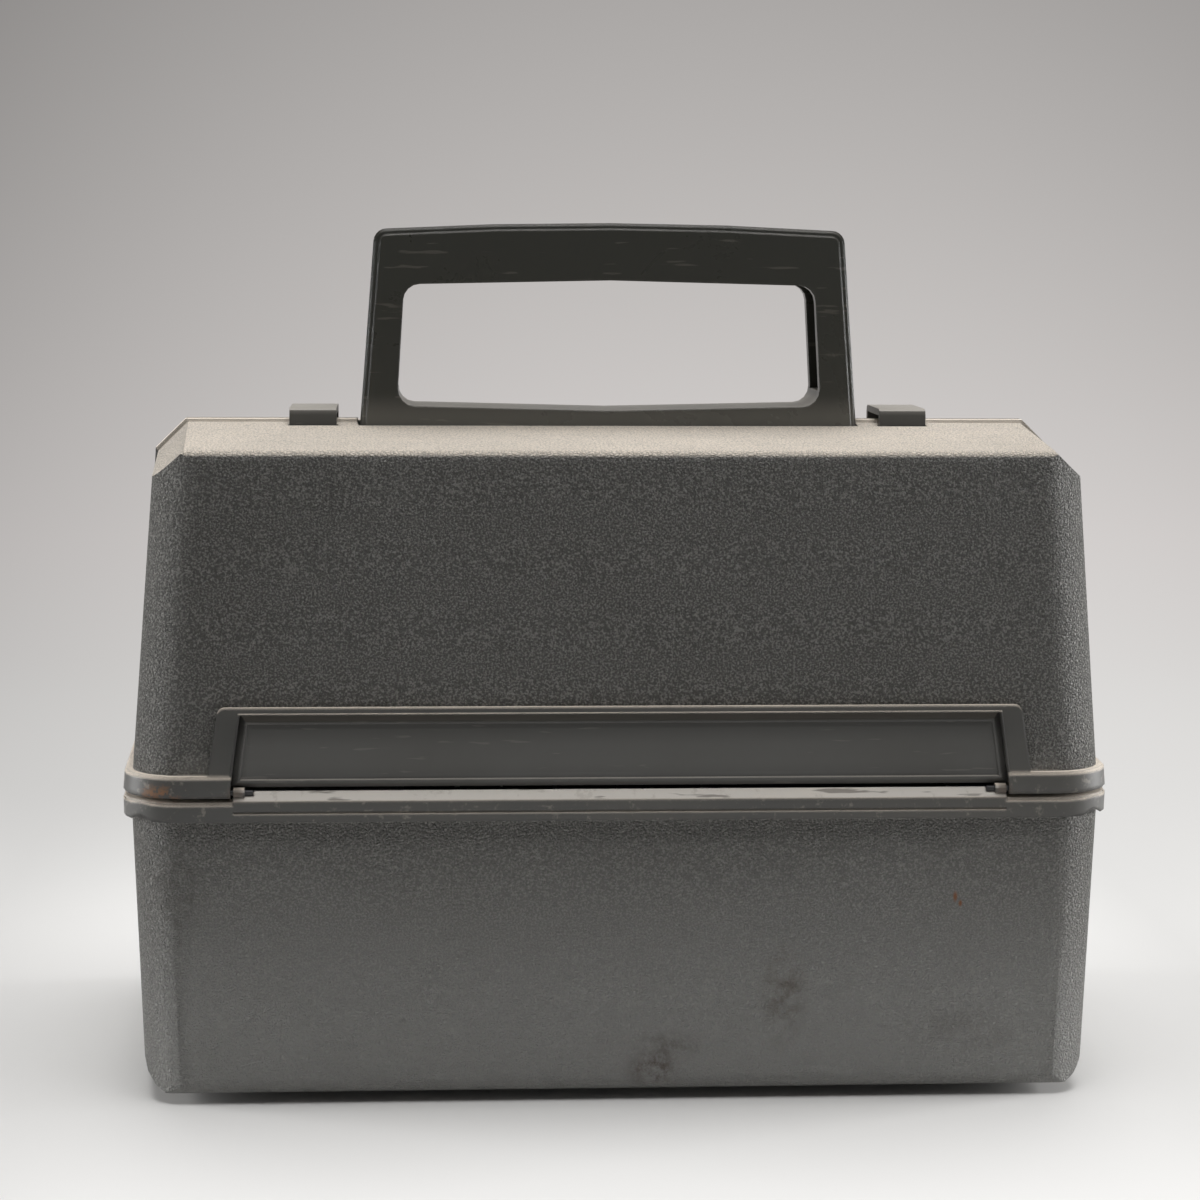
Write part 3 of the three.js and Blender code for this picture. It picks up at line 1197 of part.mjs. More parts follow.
// Transformer in the lower case
const strapLow = floorTop + fitGap;
addNode("transformer_strap", block(coreX - strapHalf, coreX + strapHalf, -coreHalfStack, coreHalfStack,
  strapLow, strapLow + strapThickness), "sheet_steel");
const coreFoot = Math.max(coreLow, strapLow + strapThickness + fitGap);
function coreSolid() {
  const outer = block(coreX - coreHalfWidth, coreX + coreHalfWidth, -coreHalfStack, coreHalfStack,
    coreFoot, coreHigh);
  const windows = [-1, 1].map((side) => {
    const near = coreX + side * coreLegHalf;
    const far = near + side * coreWindow;
    return block(Math.min(near, far), Math.max(near, far), -faceOut, faceOut,
      coreFoot + coreYoke, coreHigh - coreYoke);
  });
  return outer.subtract(joined(windows));
}
addNode("transformer_core", coreSolid(), "sheet_steel");
const coilReach = coreLegHalf + coreWindow - fitGap;
const coilDeep = coreHalfStack + coilOverhang;
addNode("transformer_coil", block(coreX - coilReach, coreX + coilReach, -coilDeep, coilDeep,
  coreFoot + coreYoke + fitGap, coreHigh - coreYoke - fitGap).subtract(block(coreX - coreLegHalf - fitGap,
  coreX + coreLegHalf + fitGap, -coreHalfStack - fitGap, coreHalfStack + fitGap, 0, coverTop)), "copper_wire");

// Switch
const switchTop = deckBottom - fitGap;
addNode("switch_body", block(switchX - switchHalf, switchX + switchHalf, switchY - switchHalf,
  switchY + switchHalf, switchTop - switchDepth, switchTop).add(rod("z", switchX, switchY,
  switchTop - switchDepth / 2, deckTop + fitGap * 2, switchBush, smallSides)), "card");
const switchKnobLow = deckTop + fitGap * 3;
function switchKnob() {
  const r = switchKnobRadius;
  const high = switchKnobLow + switchKnobHeight;
  const body = turned("z", switchX, switchY, [[0, switchKnobLow], [r, switchKnobLow],
    [r * 0.94, high - switchPointer], [r * 0.8, high], [0, high]]);
  const grips = gripRing("z", switchX, switchY, switchKnobLow + switchPointer, high + cutMargin, r,
    knobGrips / 2, knobGripDepth * 1.5);
  const pointer = block(switchX - switchPointer / 2, switchX + switchPointer / 2, switchY - r,
    switchY - r / 3, high - switchPointer, high + switchPointer / 2);
  return body.subtract(grips).add(pointer);
}
addNode("switch_knob", switchKnob(), "knob_plastic");

// Mains inlet in the rear wall of the lower case
const inletFace = caseHalfDepth + fitGap;
const inletBack = caseHalfDepth - inletDepth;
function inletBody() {
  const w = inletHalfWidth;
  const h = inletHalfHeight;
  const body = block(inletX - w, inletX + w, inletBack, inletFace, inletZ - h, inletZ + h);
  const flange = block(inletX - w - inletFlange, inletX + w + inletFlange, inletFace,
    inletFace + inletFlangeSheet, inletZ - h - inletFlange, inletZ + h + inletFlange);
  const well = block(inletX - w + inletWall, inletX + w - inletWall, inletBack + inletWall,
    faceOut + cutMargin, inletZ - h + inletWall, inletZ + h - inletWall);
  const holes = [-1, 1].map((side) => rod("y", inletX + side * inletPinSpacing, inletZ,
    inletBack - cutMargin, inletFace, inletPinRadius + fitGap, smallSides));
  return body.add(flange).subtract(well).subtract(joined(holes));
}
addNode("power_inlet", inletBody(), "knob_plastic");
for (const [side, place] of sides) {
  addNode(`inlet_pin_${place}`, rod("y", inletX + side * inletPinSpacing, inletZ,
    inletBack - cutMargin, inletFace - inletWall, inletPinRadius, smallSides), "brass_metal");
}

// Terminal block behind the plate
const terminalTop = deckTop + fitGap + terminalHeight;
function terminalBody() {
  const body = block(terminalX - terminalHalf, terminalX + terminalHalf, terminalY - terminalDepth,
    terminalY + terminalDepth, deckTop + fitGap, terminalTop);
  return body.subtract(joined(terminalPlaces.map((x) => rod("z", x, terminalY,
    terminalTop - terminalHeight / 2, terminalTop + cutMargin, terminalScrew + fitGap, smallSides))));
}
const terminalPlaces = Array.from({ length: terminalCount }, (_, i) => terminalX
  + (i - (terminalCount - 1) / 2) * terminalHalf * 2 / terminalCount);
addNode("terminal_block", terminalBody(), "card");
export default group;
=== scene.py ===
import json
import math

import bmesh
import bpy
from mathutils import Matrix, Vector


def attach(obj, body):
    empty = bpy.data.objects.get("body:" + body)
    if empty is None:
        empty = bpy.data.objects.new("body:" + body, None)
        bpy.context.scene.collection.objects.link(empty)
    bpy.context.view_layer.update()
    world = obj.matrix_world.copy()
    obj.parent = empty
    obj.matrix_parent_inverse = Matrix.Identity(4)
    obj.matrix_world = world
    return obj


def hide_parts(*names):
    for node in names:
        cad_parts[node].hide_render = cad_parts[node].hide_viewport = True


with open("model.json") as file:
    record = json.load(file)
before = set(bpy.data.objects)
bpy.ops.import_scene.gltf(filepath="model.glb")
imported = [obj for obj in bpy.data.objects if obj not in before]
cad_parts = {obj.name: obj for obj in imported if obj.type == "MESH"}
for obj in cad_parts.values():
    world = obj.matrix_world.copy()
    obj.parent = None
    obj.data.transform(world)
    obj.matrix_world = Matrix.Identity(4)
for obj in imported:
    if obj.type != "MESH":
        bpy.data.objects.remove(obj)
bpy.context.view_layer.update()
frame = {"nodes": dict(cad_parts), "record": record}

# Levels and places of the case in metres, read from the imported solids
SEAM = 0.0889
BAND_HIGH = 0.0956
BAND_LOW = 0.0826
FACE_Y = -0.077
FRAME_TOP = 0.1150
LEDGE_LOW = 0.0866
LEDGE_HIGH = 0.0914
LEDGE_HALF = 0.1095
RECESS_Y = -0.070
PARTING_RIM = 0.0043
PANEL_LOW = 0.0921
PANEL_HIGH = 0.1125

SIDES = (-1, 1)


class Paint:
    """Builds one node material."""

    def __init__(self, name):
        self.mat = bpy.data.materials.new(name)
        self.mat.use_nodes = True
        self.tree = self.mat.node_tree
        self.shader = self.tree.nodes["Principled BSDF"]
        self.coords = self.tree.nodes.new("ShaderNodeTexCoord")
        self.place = self.coords.outputs["Object"]
        self.split = self.tree.nodes.new("ShaderNodeSeparateXYZ")
        self.tree.links.new(self.place, self.split.inputs[0])
        self.normal = None

    def link(self, source, target):
        if isinstance(source, bpy.types.NodeSocket):
            self.tree.links.new(source, target)
        else:
            target.default_value = source

    def math(self, kind, a, b=0.0):
        node = self.tree.nodes.new("ShaderNodeMath")
        node.operation = kind
        self.link(a, node.inputs[0])
        self.link(b, node.inputs[1])
        return node.outputs[0]

    def times(self, first, *others):
        for other in others:
            first = self.math("MULTIPLY", first, other)
        return first

    def most(self, first, *others):
        for other in others:
            first = self.math("MAXIMUM", first, other)
        return first

    def rest(self, value):
        """What is left of 1."""
        return self.math("SUBTRACT", 1.0, value)

    def ramp(self, value, low, high, start=0.0, end=1.0):
        node = self.tree.nodes.new("ShaderNodeMapRange")
        node.interpolation_type = "SMOOTHSTEP"
        self.link(value, node.inputs[0])
        for socket, number in zip(list(node.inputs)[1:5], (low, high, start, end)):
            socket.default_value = number
        return node.outputs[0]

    def band(self, value, low, high, soft):
        """1 between two levels and 0 outside them."""
        return self.times(
            self.ramp(value, low - soft, low + soft),
            self.ramp(value, high - soft, high + soft, 1.0, 0.0),
        )

    def vector(self, kind, *values):
        node = self.tree.nodes.new("ShaderNodeVectorMath")
        node.operation = kind
        for value, socket in zip(values, node.inputs):
            self.link(value, socket)
        return node.outputs

    def noise(self, scale, detail=4.0, rough=0.55, stretch=None, warp=0.0, out="Fac"):
        node = self.tree.nodes.new("ShaderNodeTexNoise")
        node.inputs["Scale"].default_value = scale
        node.inputs["Detail"].default_value = detail
        node.inputs["Roughness"].default_value = rough
        node.inputs["Distortion"].default_value = warp
        place = self.vector("MULTIPLY", self.place, stretch)[0] if stretch else self.place
        self.tree.links.new(place, node.inputs["Vector"])
        return node.outputs[out]

    def cells(self, scale, place):
        """Distance to the nearest edge between cells."""
        node = self.tree.nodes.new("ShaderNodeTexVoronoi")
        node.feature = "DISTANCE_TO_EDGE"
        node.inputs["Scale"].default_value = scale
        self.tree.links.new(place, node.inputs["Vector"])
        return node.outputs["Distance"]

    def wave(self, direction, scale, warp=0.0):
        node = self.tree.nodes.new("ShaderNodeTexWave")
        node.bands_direction = direction
        node.inputs["Scale"].default_value = scale
        node.inputs["Distortion"].default_value = warp
        self.tree.links.new(self.place, node.inputs["Vector"])
        return node.outputs["Fac"]

    def mix(self, share, a, b):
        """Mixes two colours."""
        node = self.tree.nodes.new("ShaderNodeMix")
        node.data_type = "RGBA"
        self.link(share, node.inputs["Factor"])
        for value, socket in ((a, node.inputs[6]), (b, node.inputs[7])):
            if isinstance(value, bpy.types.NodeSocket):
                self.tree.links.new(value, socket)
            else:
                socket.default_value = (*value, 1.0)
        return node.outputs[2]

    def blend(self, share, a, b):
        """Mixes two numbers."""
        node = self.tree.nodes.new("ShaderNodeMix")
        self.link(share, node.inputs[0])
        self.link(a, node.inputs[2])
        self.link(b, node.inputs[3])
        return node.outputs[0]

    def spot(self, centre, size):
        """1 at the centre of a mark and 0 outside it."""
        offset = self.vector("SUBTRACT", self.place, centre)[0]
        scaled = self.vector("DIVIDE", offset, size)[0]
        distance = self.vector("LENGTH", scaled)["Value"]
        return self.ramp(distance, 0.2, 1.0, 1.0, 0.0)

    def facing_up(self, rounded=False):
        """How far a surface faces upward in its piece's own frame; ROUNDED counts its edges."""
        split = self.tree.nodes.new("ShaderNodeSeparateXYZ")
        source = self.coords.outputs["Normal"]
        if rounded:
            turn = self.tree.nodes.new("ShaderNodeVectorTransform")
            turn.vector_type = "NORMAL"
            turn.convert_from, turn.convert_to = "WORLD", "OBJECT"
            self.tree.links.new(self.edge, turn.inputs[0])
            source = turn.outputs[0]
        self.tree.links.new(source, split.inputs[0])
        return split.outputs["Z"]

    def round_edges(self, radius):
        node = self.tree.nodes.new("ShaderNodeBevel")
        node.samples = 4
        node.inputs["Radius"].default_value = radius
        self.normal = self.edge = node.outputs[0]
        return self

    def bump(self, height, depth, strength):
        node = self.tree.nodes.new("ShaderNodeBump")
        self.link(strength, node.inputs["Strength"])
        node.inputs["Distance"].default_value = depth
        self.link(height, node.inputs["Height"])
        if self.normal:
            self.tree.links.new(self.normal, node.inputs["Normal"])
        self.normal = node.outputs[0]

    def done(self, color, rough, metal=0.0, **more):
        if isinstance(color, bpy.types.NodeSocket):
            self.tree.links.new(color, self.shader.inputs["Base Color"])
        else:
            self.shader.inputs["Base Color"].default_value = (*color, 1.0)
        self.link(rough, self.shader.inputs["Roughness"])
        self.link(metal, self.shader.inputs["Metallic"])
        for name, value in more.items():
            self.link(value, self.shader.inputs[name.replace("_", " ")])
        if self.normal:
            self.tree.links.new(self.normal, self.shader.inputs["Normal"])
        return self.mat


# Colours of the case and of what lies on it, and of light and shade painted on it
GRAIN = (0.245, 0.241, 0.224)
SMOOTH = (0.082, 0.081, 0.077)
PATCH = (0.165, 0.155, 0.135)
GRIME = (0.085, 0.080, 0.070)
SPECK_PALE = (0.42, 0.41, 0.38)
SPECK_DARK = (0.078, 0.076, 0.069)
# Painted light from the floor on the lower case
PAINTED_FLOOR_LIGHT = (0.50, 0.495, 0.475)
# Pale dust, hairlines and painted highlight on rounded edges
PALE_DUST_AND_HIGHLIGHT = (0.46, 0.425, 0.375)
# Dust and painted highlight on what faces up
TOP_DUST_AND_HIGHLIGHT = (0.90, 0.80, 0.685)
LEDGE_PALE = (0.70, 0.66, 0.605)
LEDGE_SCRATCH = (0.17, 0.15, 0.13)
BAND_RUB = (0.42, 0.38, 0.33)
LEDGE_END = (0.12, 0.095, 0.075)
RUST = (0.30, 0.14, 0.06)
RUST_DOT = (0.38, 0.14, 0.05)
FOOT_PALE = (0.21, 0.205, 0.185)
PANEL_GREY = (0.108, 0.106, 0.100)
PANEL_SHADE = (0.094, 0.091, 0.084)
# Painted shade of the panel
PANEL_PAINTED_SHADE = (0.058, 0.057, 0.053)

# Scales of the grain, and the depths of its bumps in metres
CELLS, SMALL_CELLS, FINE_GRAIN, SMOOTH_GRAIN = 900, 1800, 3200, 900
BEND_SCALE, BEND = 600, (0.0012, 0.0012, 0.0012)
GRAIN_DEPTH, SMOOTH_DEPTH = 0.0012, 0.00008
# Share of the grain's strength that is left on faces that look up
GRAIN_ON_TOP = 0.66

# Soiled places of the case: centre, size, colour and strength
STAINS = (
    ((0.0465, -0.077, 0.031), (0.0085, 0.02, 0.020), (0.15, 0.115, 0.075), 0.55),
    ((0.0095, -0.077, 0.009), (0.010, 0.02, 0.007), (0.14, 0.09, 0.06), 0.75),
    ((0.0130, -0.077, 0.016), (0.014, 0.02, 0.006), (0.14, 0.11, 0.08), 0.45),
    ((-0.127, -0.070, 0.062), (0.013, 0.03, 0.022), (0.10, 0.09, 0.075), 0.45),
    ((-0.0622, -0.077, 0.0237), (0.0016, 0.02, 0.0020), (0.08, 0.07, 0.06), 0.8),
    ((0.100, -0.077, 0.020), (0.030, 0.02, 0.010), (0.15, 0.125, 0.10), 0.25),
)
RUST_DOTS = (
    ((0.0957, -0.077, 0.0592), (0.0009, 0.02, 0.0022)),
    ((0.0972, -0.077, 0.0572), (0.0008, 0.02, 0.0014)),
)
RUST_AT, RUST_SIZE = (-0.1285, -0.074, 0.0905), (0.011, 0.012, 0.004)
LEDGE_ENDS = [(0.1086 * side, -0.078, 0.0908) for side in SIDES]
LEDGE_END_SIZE = (0.0034, 0.008, 0.0034)
# Painted shade on the panel: how far it reaches up from the foot and down from the top, and its
# softness
PAINTED_SHADE_UP, PAINTED_SHADE_DOWN, PAINTED_SHADE_SOFT = 0.0042, 0.0066, 0.0030
# Levels of the handle between which the paler tone at its foot fades out
HANDLE_FOOT = (0.192, 0.200)


def smooth_places(p):
    """Where the case is smooth instead of grained, and where the ledge's recess is."""
    x, y, z = (p.split.outputs[i] for i in range(3))
    wide = p.math("ABSOLUTE", x)
    bands = p.band(z, BAND_LOW, BAND_HIGH, 0.0002)
    rims = p.ramp(p.math("ABSOLUTE", y), PARTING_RIM, PARTING_RIM + 0.0005, 1.0, 0.0)
    proud = p.times(
        p.ramp(y, FACE_Y - 0.0001, FACE_Y + 0.0005, 1.0, 0.0),
        p.ramp(z, FRAME_TOP + 0.0008, FRAME_TOP + 0.0012, 1.0, 0.0),
        p.ramp(z, BAND_LOW - 0.001, BAND_LOW),
    )
    recess = p.times(
        p.ramp(wide, LEDGE_HALF - 0.0005, LEDGE_HALF + 0.0005, 1.0, 0.0),
        p.band(z, LEDGE_LOW, FRAME_TOP - 0.0018, 0.0003),
        p.ramp(y, RECESS_Y - 0.001, RECESS_Y, 1.0, 0.0),
    )
    return bands, recess, p.most(bands, rims, p.most(proud, recess))


def leather_grain(p, smooth, leather):
    """Bumps of wrinkled cells of about a millimetre, broken up by finer noise."""
    fine = p.noise(FINE_GRAIN, 3.0, 0.6)
    bend = p.noise(BEND_SCALE, 2.0, 0.5, out="Color")
    bent = p.vector("MULTIPLY_ADD", bend, BEND, p.place)[0]
    edges = p.cells(CELLS, bent)
    small = p.cells(SMALL_CELLS, bent)
    pebble = p.math("ADD", p.ramp(edges, 0.0, 0.3), p.times(p.ramp(small, 0.0, 0.25), 0.45))
    height = p.math("ADD", pebble, p.times(fine, 0.35))
    strength = p.ramp(p.facing_up(), 0.35, 0.95, 1.0, GRAIN_ON_TOP)
    p.bump(height, GRAIN_DEPTH, p.times(leather, strength))
    p.bump(p.noise(SMOOTH_GRAIN, 5.0, 0.6), SMOOTH_DEPTH, p.times(smooth, 0.35))
    return edges


def grained_case():
    p = Paint("grained_case").round_edges(0.0011)
    wide = p.math("ABSOLUTE", p.split.outputs[0])
    z = p.split.outputs[2]
    bands, recess, smooth = smooth_places(p)
    leather = p.rest(smooth)
    edges = leather_grain(p, smooth, leather)
    # Warm grey, patchy, with grime in the grain and pale and dark specks
    patch = p.noise(9, 5.0, 0.6, warp=0.6)
    color = p.mix(smooth, GRAIN, SMOOTH)
    color = p.mix(p.ramp(patch, 0.35, 0.7, 0.0, 0.35), color, PATCH)
    color = p.mix(p.times(p.ramp(edges, 0.0, 0.14, 0.45, 0.0), leather), color, GRIME)
    speck = p.ramp(p.noise(1700, 2.0, 0.6), 0.44, 0.62)
    color = p.mix(p.times(speck, leather, 0.6), color, SPECK_PALE)
    color = p.mix(p.times(p.rest(speck), leather, 0.6), color, SPECK_DARK)
    # Painted light: paler towards the floor and less so at the side corners, standing in for light
    # thrown up from the floor onto the lower case
    low = p.times(
        p.ramp(z, 0.010, BAND_LOW, 1.0, 0.28),
        p.ramp(z, BAND_LOW, SEAM, 1.0, 0.0),
        p.times(leather, p.ramp(wide, 0.12, 0.138, 0.90, 0.32)),
    )
    color = p.mix(low, color, PAINTED_FLOOR_LIGHT)
    # Dust and painted highlight on what faces up, also on the rounded edges of the smooth places
    up = p.blend(
        smooth,
        p.ramp(p.facing_up(), 0.35, 0.95),
        p.ramp(p.facing_up(rounded=True), 0.16, 0.60),
    )
    dust_and_highlight = p.times(up, p.ramp(p.noise(24, 4.0, 0.6), 0.3, 0.7, 0.84, 0.97))
    pits = p.times(p.ramp(edges, 0.0, 0.16, 0.5, 0.0), leather)
    dust_and_highlight = p.times(dust_and_highlight, p.rest(pits))
    color = p.mix(dust_and_highlight, color, TOP_DUST_AND_HIGHLIGHT)
    # Ledge: worn pale top with scratches along it
    top = p.times(
        recess,
        p.band(z, SEAM - 0.0002, LEDGE_HIGH + 0.0003, 0.0002),
        p.ramp(p.facing_up(), 0.15, 0.35),
    )
    worn = p.noise(70, 8.0, 0.75, stretch=(0.5, 3.0, 3.0))
    color = p.mix(p.times(top, p.ramp(worn, 0.36, 0.5, 0.75, 1.0)), color, LEDGE_PALE)
    scratch = p.ramp(p.noise(220, 3.0, 0.5, stretch=(0.25, 2.0, 2.0)), 0.60, 0.66)
    color = p.mix(p.times(scratch, top, 0.7), color, LEDGE_SCRATCH)
    # Rubbed edges of the bands
    rub = p.times(bands, p.ramp(p.noise(240, 6.0, 0.7), 0.56, 0.66))
    color = p.mix(p.times(rub, 0.35), color, BAND_RUB)
    # Marks that the case carries
    blot = p.noise(160, 6.0, 0.75)
    for centre, size, tint, share in STAINS:
        mark = p.times(p.spot(centre, size), p.ramp(blot, 0.38, 0.62))
        color = p.mix(p.times(mark, share), color, tint)
    for centre, size in RUST_DOTS:
        color = p.mix(p.times(p.spot(centre, size), 0.9), color, RUST_DOT)
    # Darker brownish broken ends of the ledge
    for centre in LEDGE_ENDS:
        color = p.mix(p.times(p.spot(centre, LEDGE_END_SIZE), 0.85), color, LEDGE_END)
    rust = p.times(p.spot(RUST_AT, RUST_SIZE), p.ramp(blot, 0.5, 0.6))
    color = p.mix(p.times(rust, 0.8), color, RUST)
    rough = p.blend(
        smooth,
        p.ramp(patch, 0.3, 0.7, 0.54, 0.66),
        p.ramp(patch, 0.3, 0.7, 0.36, 0.50),
    )
    return p.done(color, p.blend(dust_and_highlight, rough, 0.85), Specular_IOR_Level=0.4)


def moulded(p, base, shade, hair_share):
    """Colour of smooth moulded plastic with faint pale hairlines, and the patches in it."""
    patch = p.noise(22, 6.0, 0.65, warp=0.4)
    color = p.mix(p.ramp(patch, 0.35, 0.7, 0.0, 0.6), base, shade)
    hair = p.ramp(p.noise(420, 2.0, 0.5, stretch=(0.15, 1.0, 1.4)), 0.66, 0.70)
    return color, patch, p.times(hair, hair_share)


def smooth_plastic(name, base, shade, rough, dusty, foot=None):
    """Smooth moulding; FOOT is the height range over which a paler tone from below fades out."""
    p = Paint(name).round_edges(0.0008)
    color, patch, hair = moulded(p, base, shade, 0.14)
    # Paler towards the foot
    if foot:
        color = p.mix(p.ramp(p.split.outputs[2], *foot, 0.55, 0.0), color, FOOT_PALE)
    color = p.mix(hair, color, PALE_DUST_AND_HIGHLIGHT)
    # Dust specks and painted highlight on what faces up
    specks = p.ramp(p.noise(90, 6.0, 0.7), 0.3, 0.7, 0.2, dusty)
    dust_and_highlight = p.times(p.ramp(p.facing_up(), 0.4, 0.95), specks)
    color = p.mix(dust_and_highlight, color, PALE_DUST_AND_HIGHLIGHT)
    # Painted highlight with dust on the rounded edges that face up
    edge = p.times(
        p.ramp(p.facing_up(rounded=True), 0.15, 0.7),
        p.ramp(patch, 0.3, 0.7, 0.2, 0.5),
    )
    color = p.mix(edge, color, PALE_DUST_AND_HIGHLIGHT)
    p.bump(p.noise(500, 5.0, 0.6), 0.00006, 0.35)
    return p.done(color, p.blend(dust_and_highlight, p.ramp(patch, 0.3, 0.7, rough, rough + 0.12), 0.75))


def panel_plastic():
    """Smooth grey moulding with painted shade along the top and bottom of its sunk face, and
    painted highlight with dust on its up-facing edges.
    """
    p = Paint("smooth_grey_moulding").round_edges(0.0003)
    color, patch, hair = moulded(p, PANEL_GREY, PANEL_SHADE, 0.10)
    z = p.split.outputs[2]
    # Painted shade near the foot and the top of the sunk face, where the rim shades it
    unshaded = p.band(z, PANEL_LOW + PAINTED_SHADE_UP, PANEL_HIGH - PAINTED_SHADE_DOWN, PAINTED_SHADE_SOFT)
    color = p.mix(p.times(p.rest(unshaded), 0.62), color, PANEL_PAINTED_SHADE)
    color = p.mix(hair, color, PALE_DUST_AND_HIGHLIGHT)
    # Painted highlight with dust on the rounded edges that face up, such as the rim's crest
    color = p.mix(p.ramp(p.facing_up(rounded=True), 0.12, 0.8, 0.0, 0.62), color, PALE_DUST_AND_HIGHLIGHT)
    p.bump(p.noise(500, 5.0, 0.6), 0.00006, 0.35)
    return p.done(color, p.ramp(patch, 0.3, 0.7, 0.38, 0.50))


def metal(name, base, shade, rough, along=None, metallic=1.0):
    """Brushed or coated metal with faint stains."""
    p = Paint(name).round_edges(0.0003)
    brushed = p.noise(900, 3.0, 0.6, stretch=along)
    stain = p.noise(45, 6.0, 0.7)
    color = p.mix(p.ramp(stain, 0.45, 0.75, 0.0, 0.25), base, shade)
    p.bump(brushed, 0.00003, 0.35)
    level = p.math("ADD", p.ramp(stain, 0.3, 0.8, rough, rough + 0.15), p.times(brushed, 0.06))
    return p.done(color, level, metallic)


def glass():
    p = Paint("lens_glass")
    smear = p.noise(60, 5.0, 0.6)
    p.bump(smear, 0.00001, 0.1)
    rough = p.ramp(smear, 0.4, 0.7, 0.01, 0.05)
    return p.done((0.93, 0.96, 0.97), rough, Transmission_Weight=1.0, IOR=1.5)


def rubber():
    p = Paint("rubber_black").round_edges(0.0004)
    dusty = p.ramp(p.noise(130, 6.0, 0.7), 0.4, 0.75, 0.0, 0.4)
    p.bump(p.noise(1400, 4.0, 0.6), 0.00008, 0.5)
    return p.done(p.mix(dusty, (0.022, 0.022, 0.023), (0.09, 0.085, 0.075)), 0.82)


def windings():
    p = Paint("enamelled_windings").round_edges(0.0005)
    turns = p.wave("Z", 320, 0.6)
    color = p.mix(p.ramp(turns, 0.1, 0.8), (0.10, 0.025, 0.01), (0.46, 0.16, 0.06))
    p.bump(turns, 0.0003, 0.8)
    return p.done(color, p.ramp(p.noise(80), 0.3, 0.7, 0.28, 0.45), 0.3)


def laminations():
    p = Paint("core_laminations").round_edges(0.0004)
    sheets = p.wave("Y", 300)
    rust = p.ramp(p.noise(60, 6.0, 0.7), 0.5, 0.7, 0.0, 0.6)
    steel = p.mix(sheets, (0.16, 0.16, 0.17), (0.30, 0.30, 0.31))
    p.bump(sheets, 0.0002, 0.6)
    return p.done(p.mix(rust, steel, (0.20, 0.10, 0.05)), 0.5, 0.7)


def pale_moulding():
    p = Paint("pale_moulding").round_edges(0.0004)
    aged = p.ramp(p.noise(40, 6.0, 0.65), 0.35, 0.7)
    p.bump(p.noise(1100, 4.0, 0.6), 0.00006, 0.4)
    return p.done(p.mix(aged, (0.66, 0.63, 0.55), (0.52, 0.47, 0.38)), 0.5)


def film():
    p = Paint("exposed_film")
    tone = p.ramp(p.noise(90, 6.0, 0.6, warp=1.0), 0.35, 0.65)
    return p.done(p.mix(tone, (0.03, 0.05, 0.06), (0.16, 0.11, 0.07)), 0.2)


CASE = grained_case()
PLAIN = panel_plastic()
BLACK = metal("black_enamel", (0.030, 0.030, 0.031), (0.06, 0.055, 0.05), 0.42, metallic=0.0)

# One look for each material slot of the record
LOOKS = {
    "case_plastic": CASE,
    "panel_plastic": PLAIN,
    "handle_plastic": smooth_plastic(
        "handle_moulding", (0.057, 0.058, 0.050), (0.044, 0.044, 0.039), 0.24, 0.35,
        HANDLE_FOOT),
    "knob_plastic": smooth_plastic(
        "black_moulding", (0.030, 0.030, 0.031), (0.045, 0.043, 0.040), 0.30, 0.25),
    "sheet_steel": metal(
        "plated_sheet", (0.60, 0.60, 0.585), (0.42, 0.40, 0.36), 0.34, (0.3, 1, 1)),
    "black_metal": BLACK,
    "bright_metal": metal("bright_plating", (0.74, 0.74, 0.72), (0.55, 0.53, 0.49), 0.18),
    "brass_metal": metal("plain_brass", (0.66, 0.46, 0.20), (0.42, 0.27, 0.12), 0.30),
    "clear_glass": glass(),
    "rubber": rubber(),
    "copper_wire": windings(),
    "card": pale_moulding(),
}
# Pieces that look otherwise than their slot
SPECIAL = {
    "transformer_core": laminations(),
    "slide_film": film(),
    "hinge_pin_left": BLACK,
    "hinge_pin_right": BLACK,
}
SLOTS = {part["node"]: part["material_slot"] for part in frame["record"]["subparts"]}
BODY = {}
for body, names in frame["record"]["behaviour"]["bodies"].items():
    for name in names:
        BODY[name] = body


# How much less than the solids the photographed case widens halfway back, at three levels
SLIM_TOP, SLIM_SEAM, SLIM_FLOOR = 0.0032, 0.0045, 0.0
CASE_TOP, CASE_FLOOR, CORNER_Y = 0.187, 0.0026, 0.064
# Distances from the middle between which the sides start to follow, above and below the seam
REACH_UPPER, REACH_LOWER = (0.118, 0.128), (0.126, 0.134)
SLIMMED = {"front_cover", "rear_cover", "lower_case", "mechanism_plate", "deck_plate"}
# The lower band: its foot, how far it reaches further down, and where the band is
BAND_FOOT, BAND_DROP = 0.0843, 0.0017
BAND_FROM, BAND_FACE_Y, BAND_SIDE_X = 0.080, 0.0755, 0.1375


def smoothstep(low, high, value):
    share = min(max((value - low) / (high - low), 0.0), 1.0)
    return share * share * (3 - 2 * share)


def slimmed(name, point):
    """Where a point of the case lies on the photographed one."""
    x, y, z = point
    inward = min(max((CORNER_Y - abs(y)) / CORNER_Y, 0.0), 1.0)
    if z > SEAM:
        share = min((z - SEAM) / (CASE_TOP - SEAM), 1.0)
        slim = SLIM_SEAM + (SLIM_TOP - SLIM_SEAM) * share
        reach = smoothstep(*REACH_UPPER, abs(x))
    else:
        share = (SEAM - z) / (SEAM - CASE_FLOOR)
        slim = SLIM_SEAM + (SLIM_FLOOR - SLIM_SEAM) * share
        reach = smoothstep(*REACH_LOWER, abs(x))
    moved = x - math.copysign(slim * inward * reach, x)
    in_band = BAND_FROM < z < SEAM and (abs(y) > BAND_FACE_Y or abs(x) > BAND_SIDE_X)
    if name == "lower_case" and in_band:
        z -= BAND_DROP * min((SEAM - z) / (SEAM - BAND_FOOT), 1.0)
    return Vector((moved, y, z))


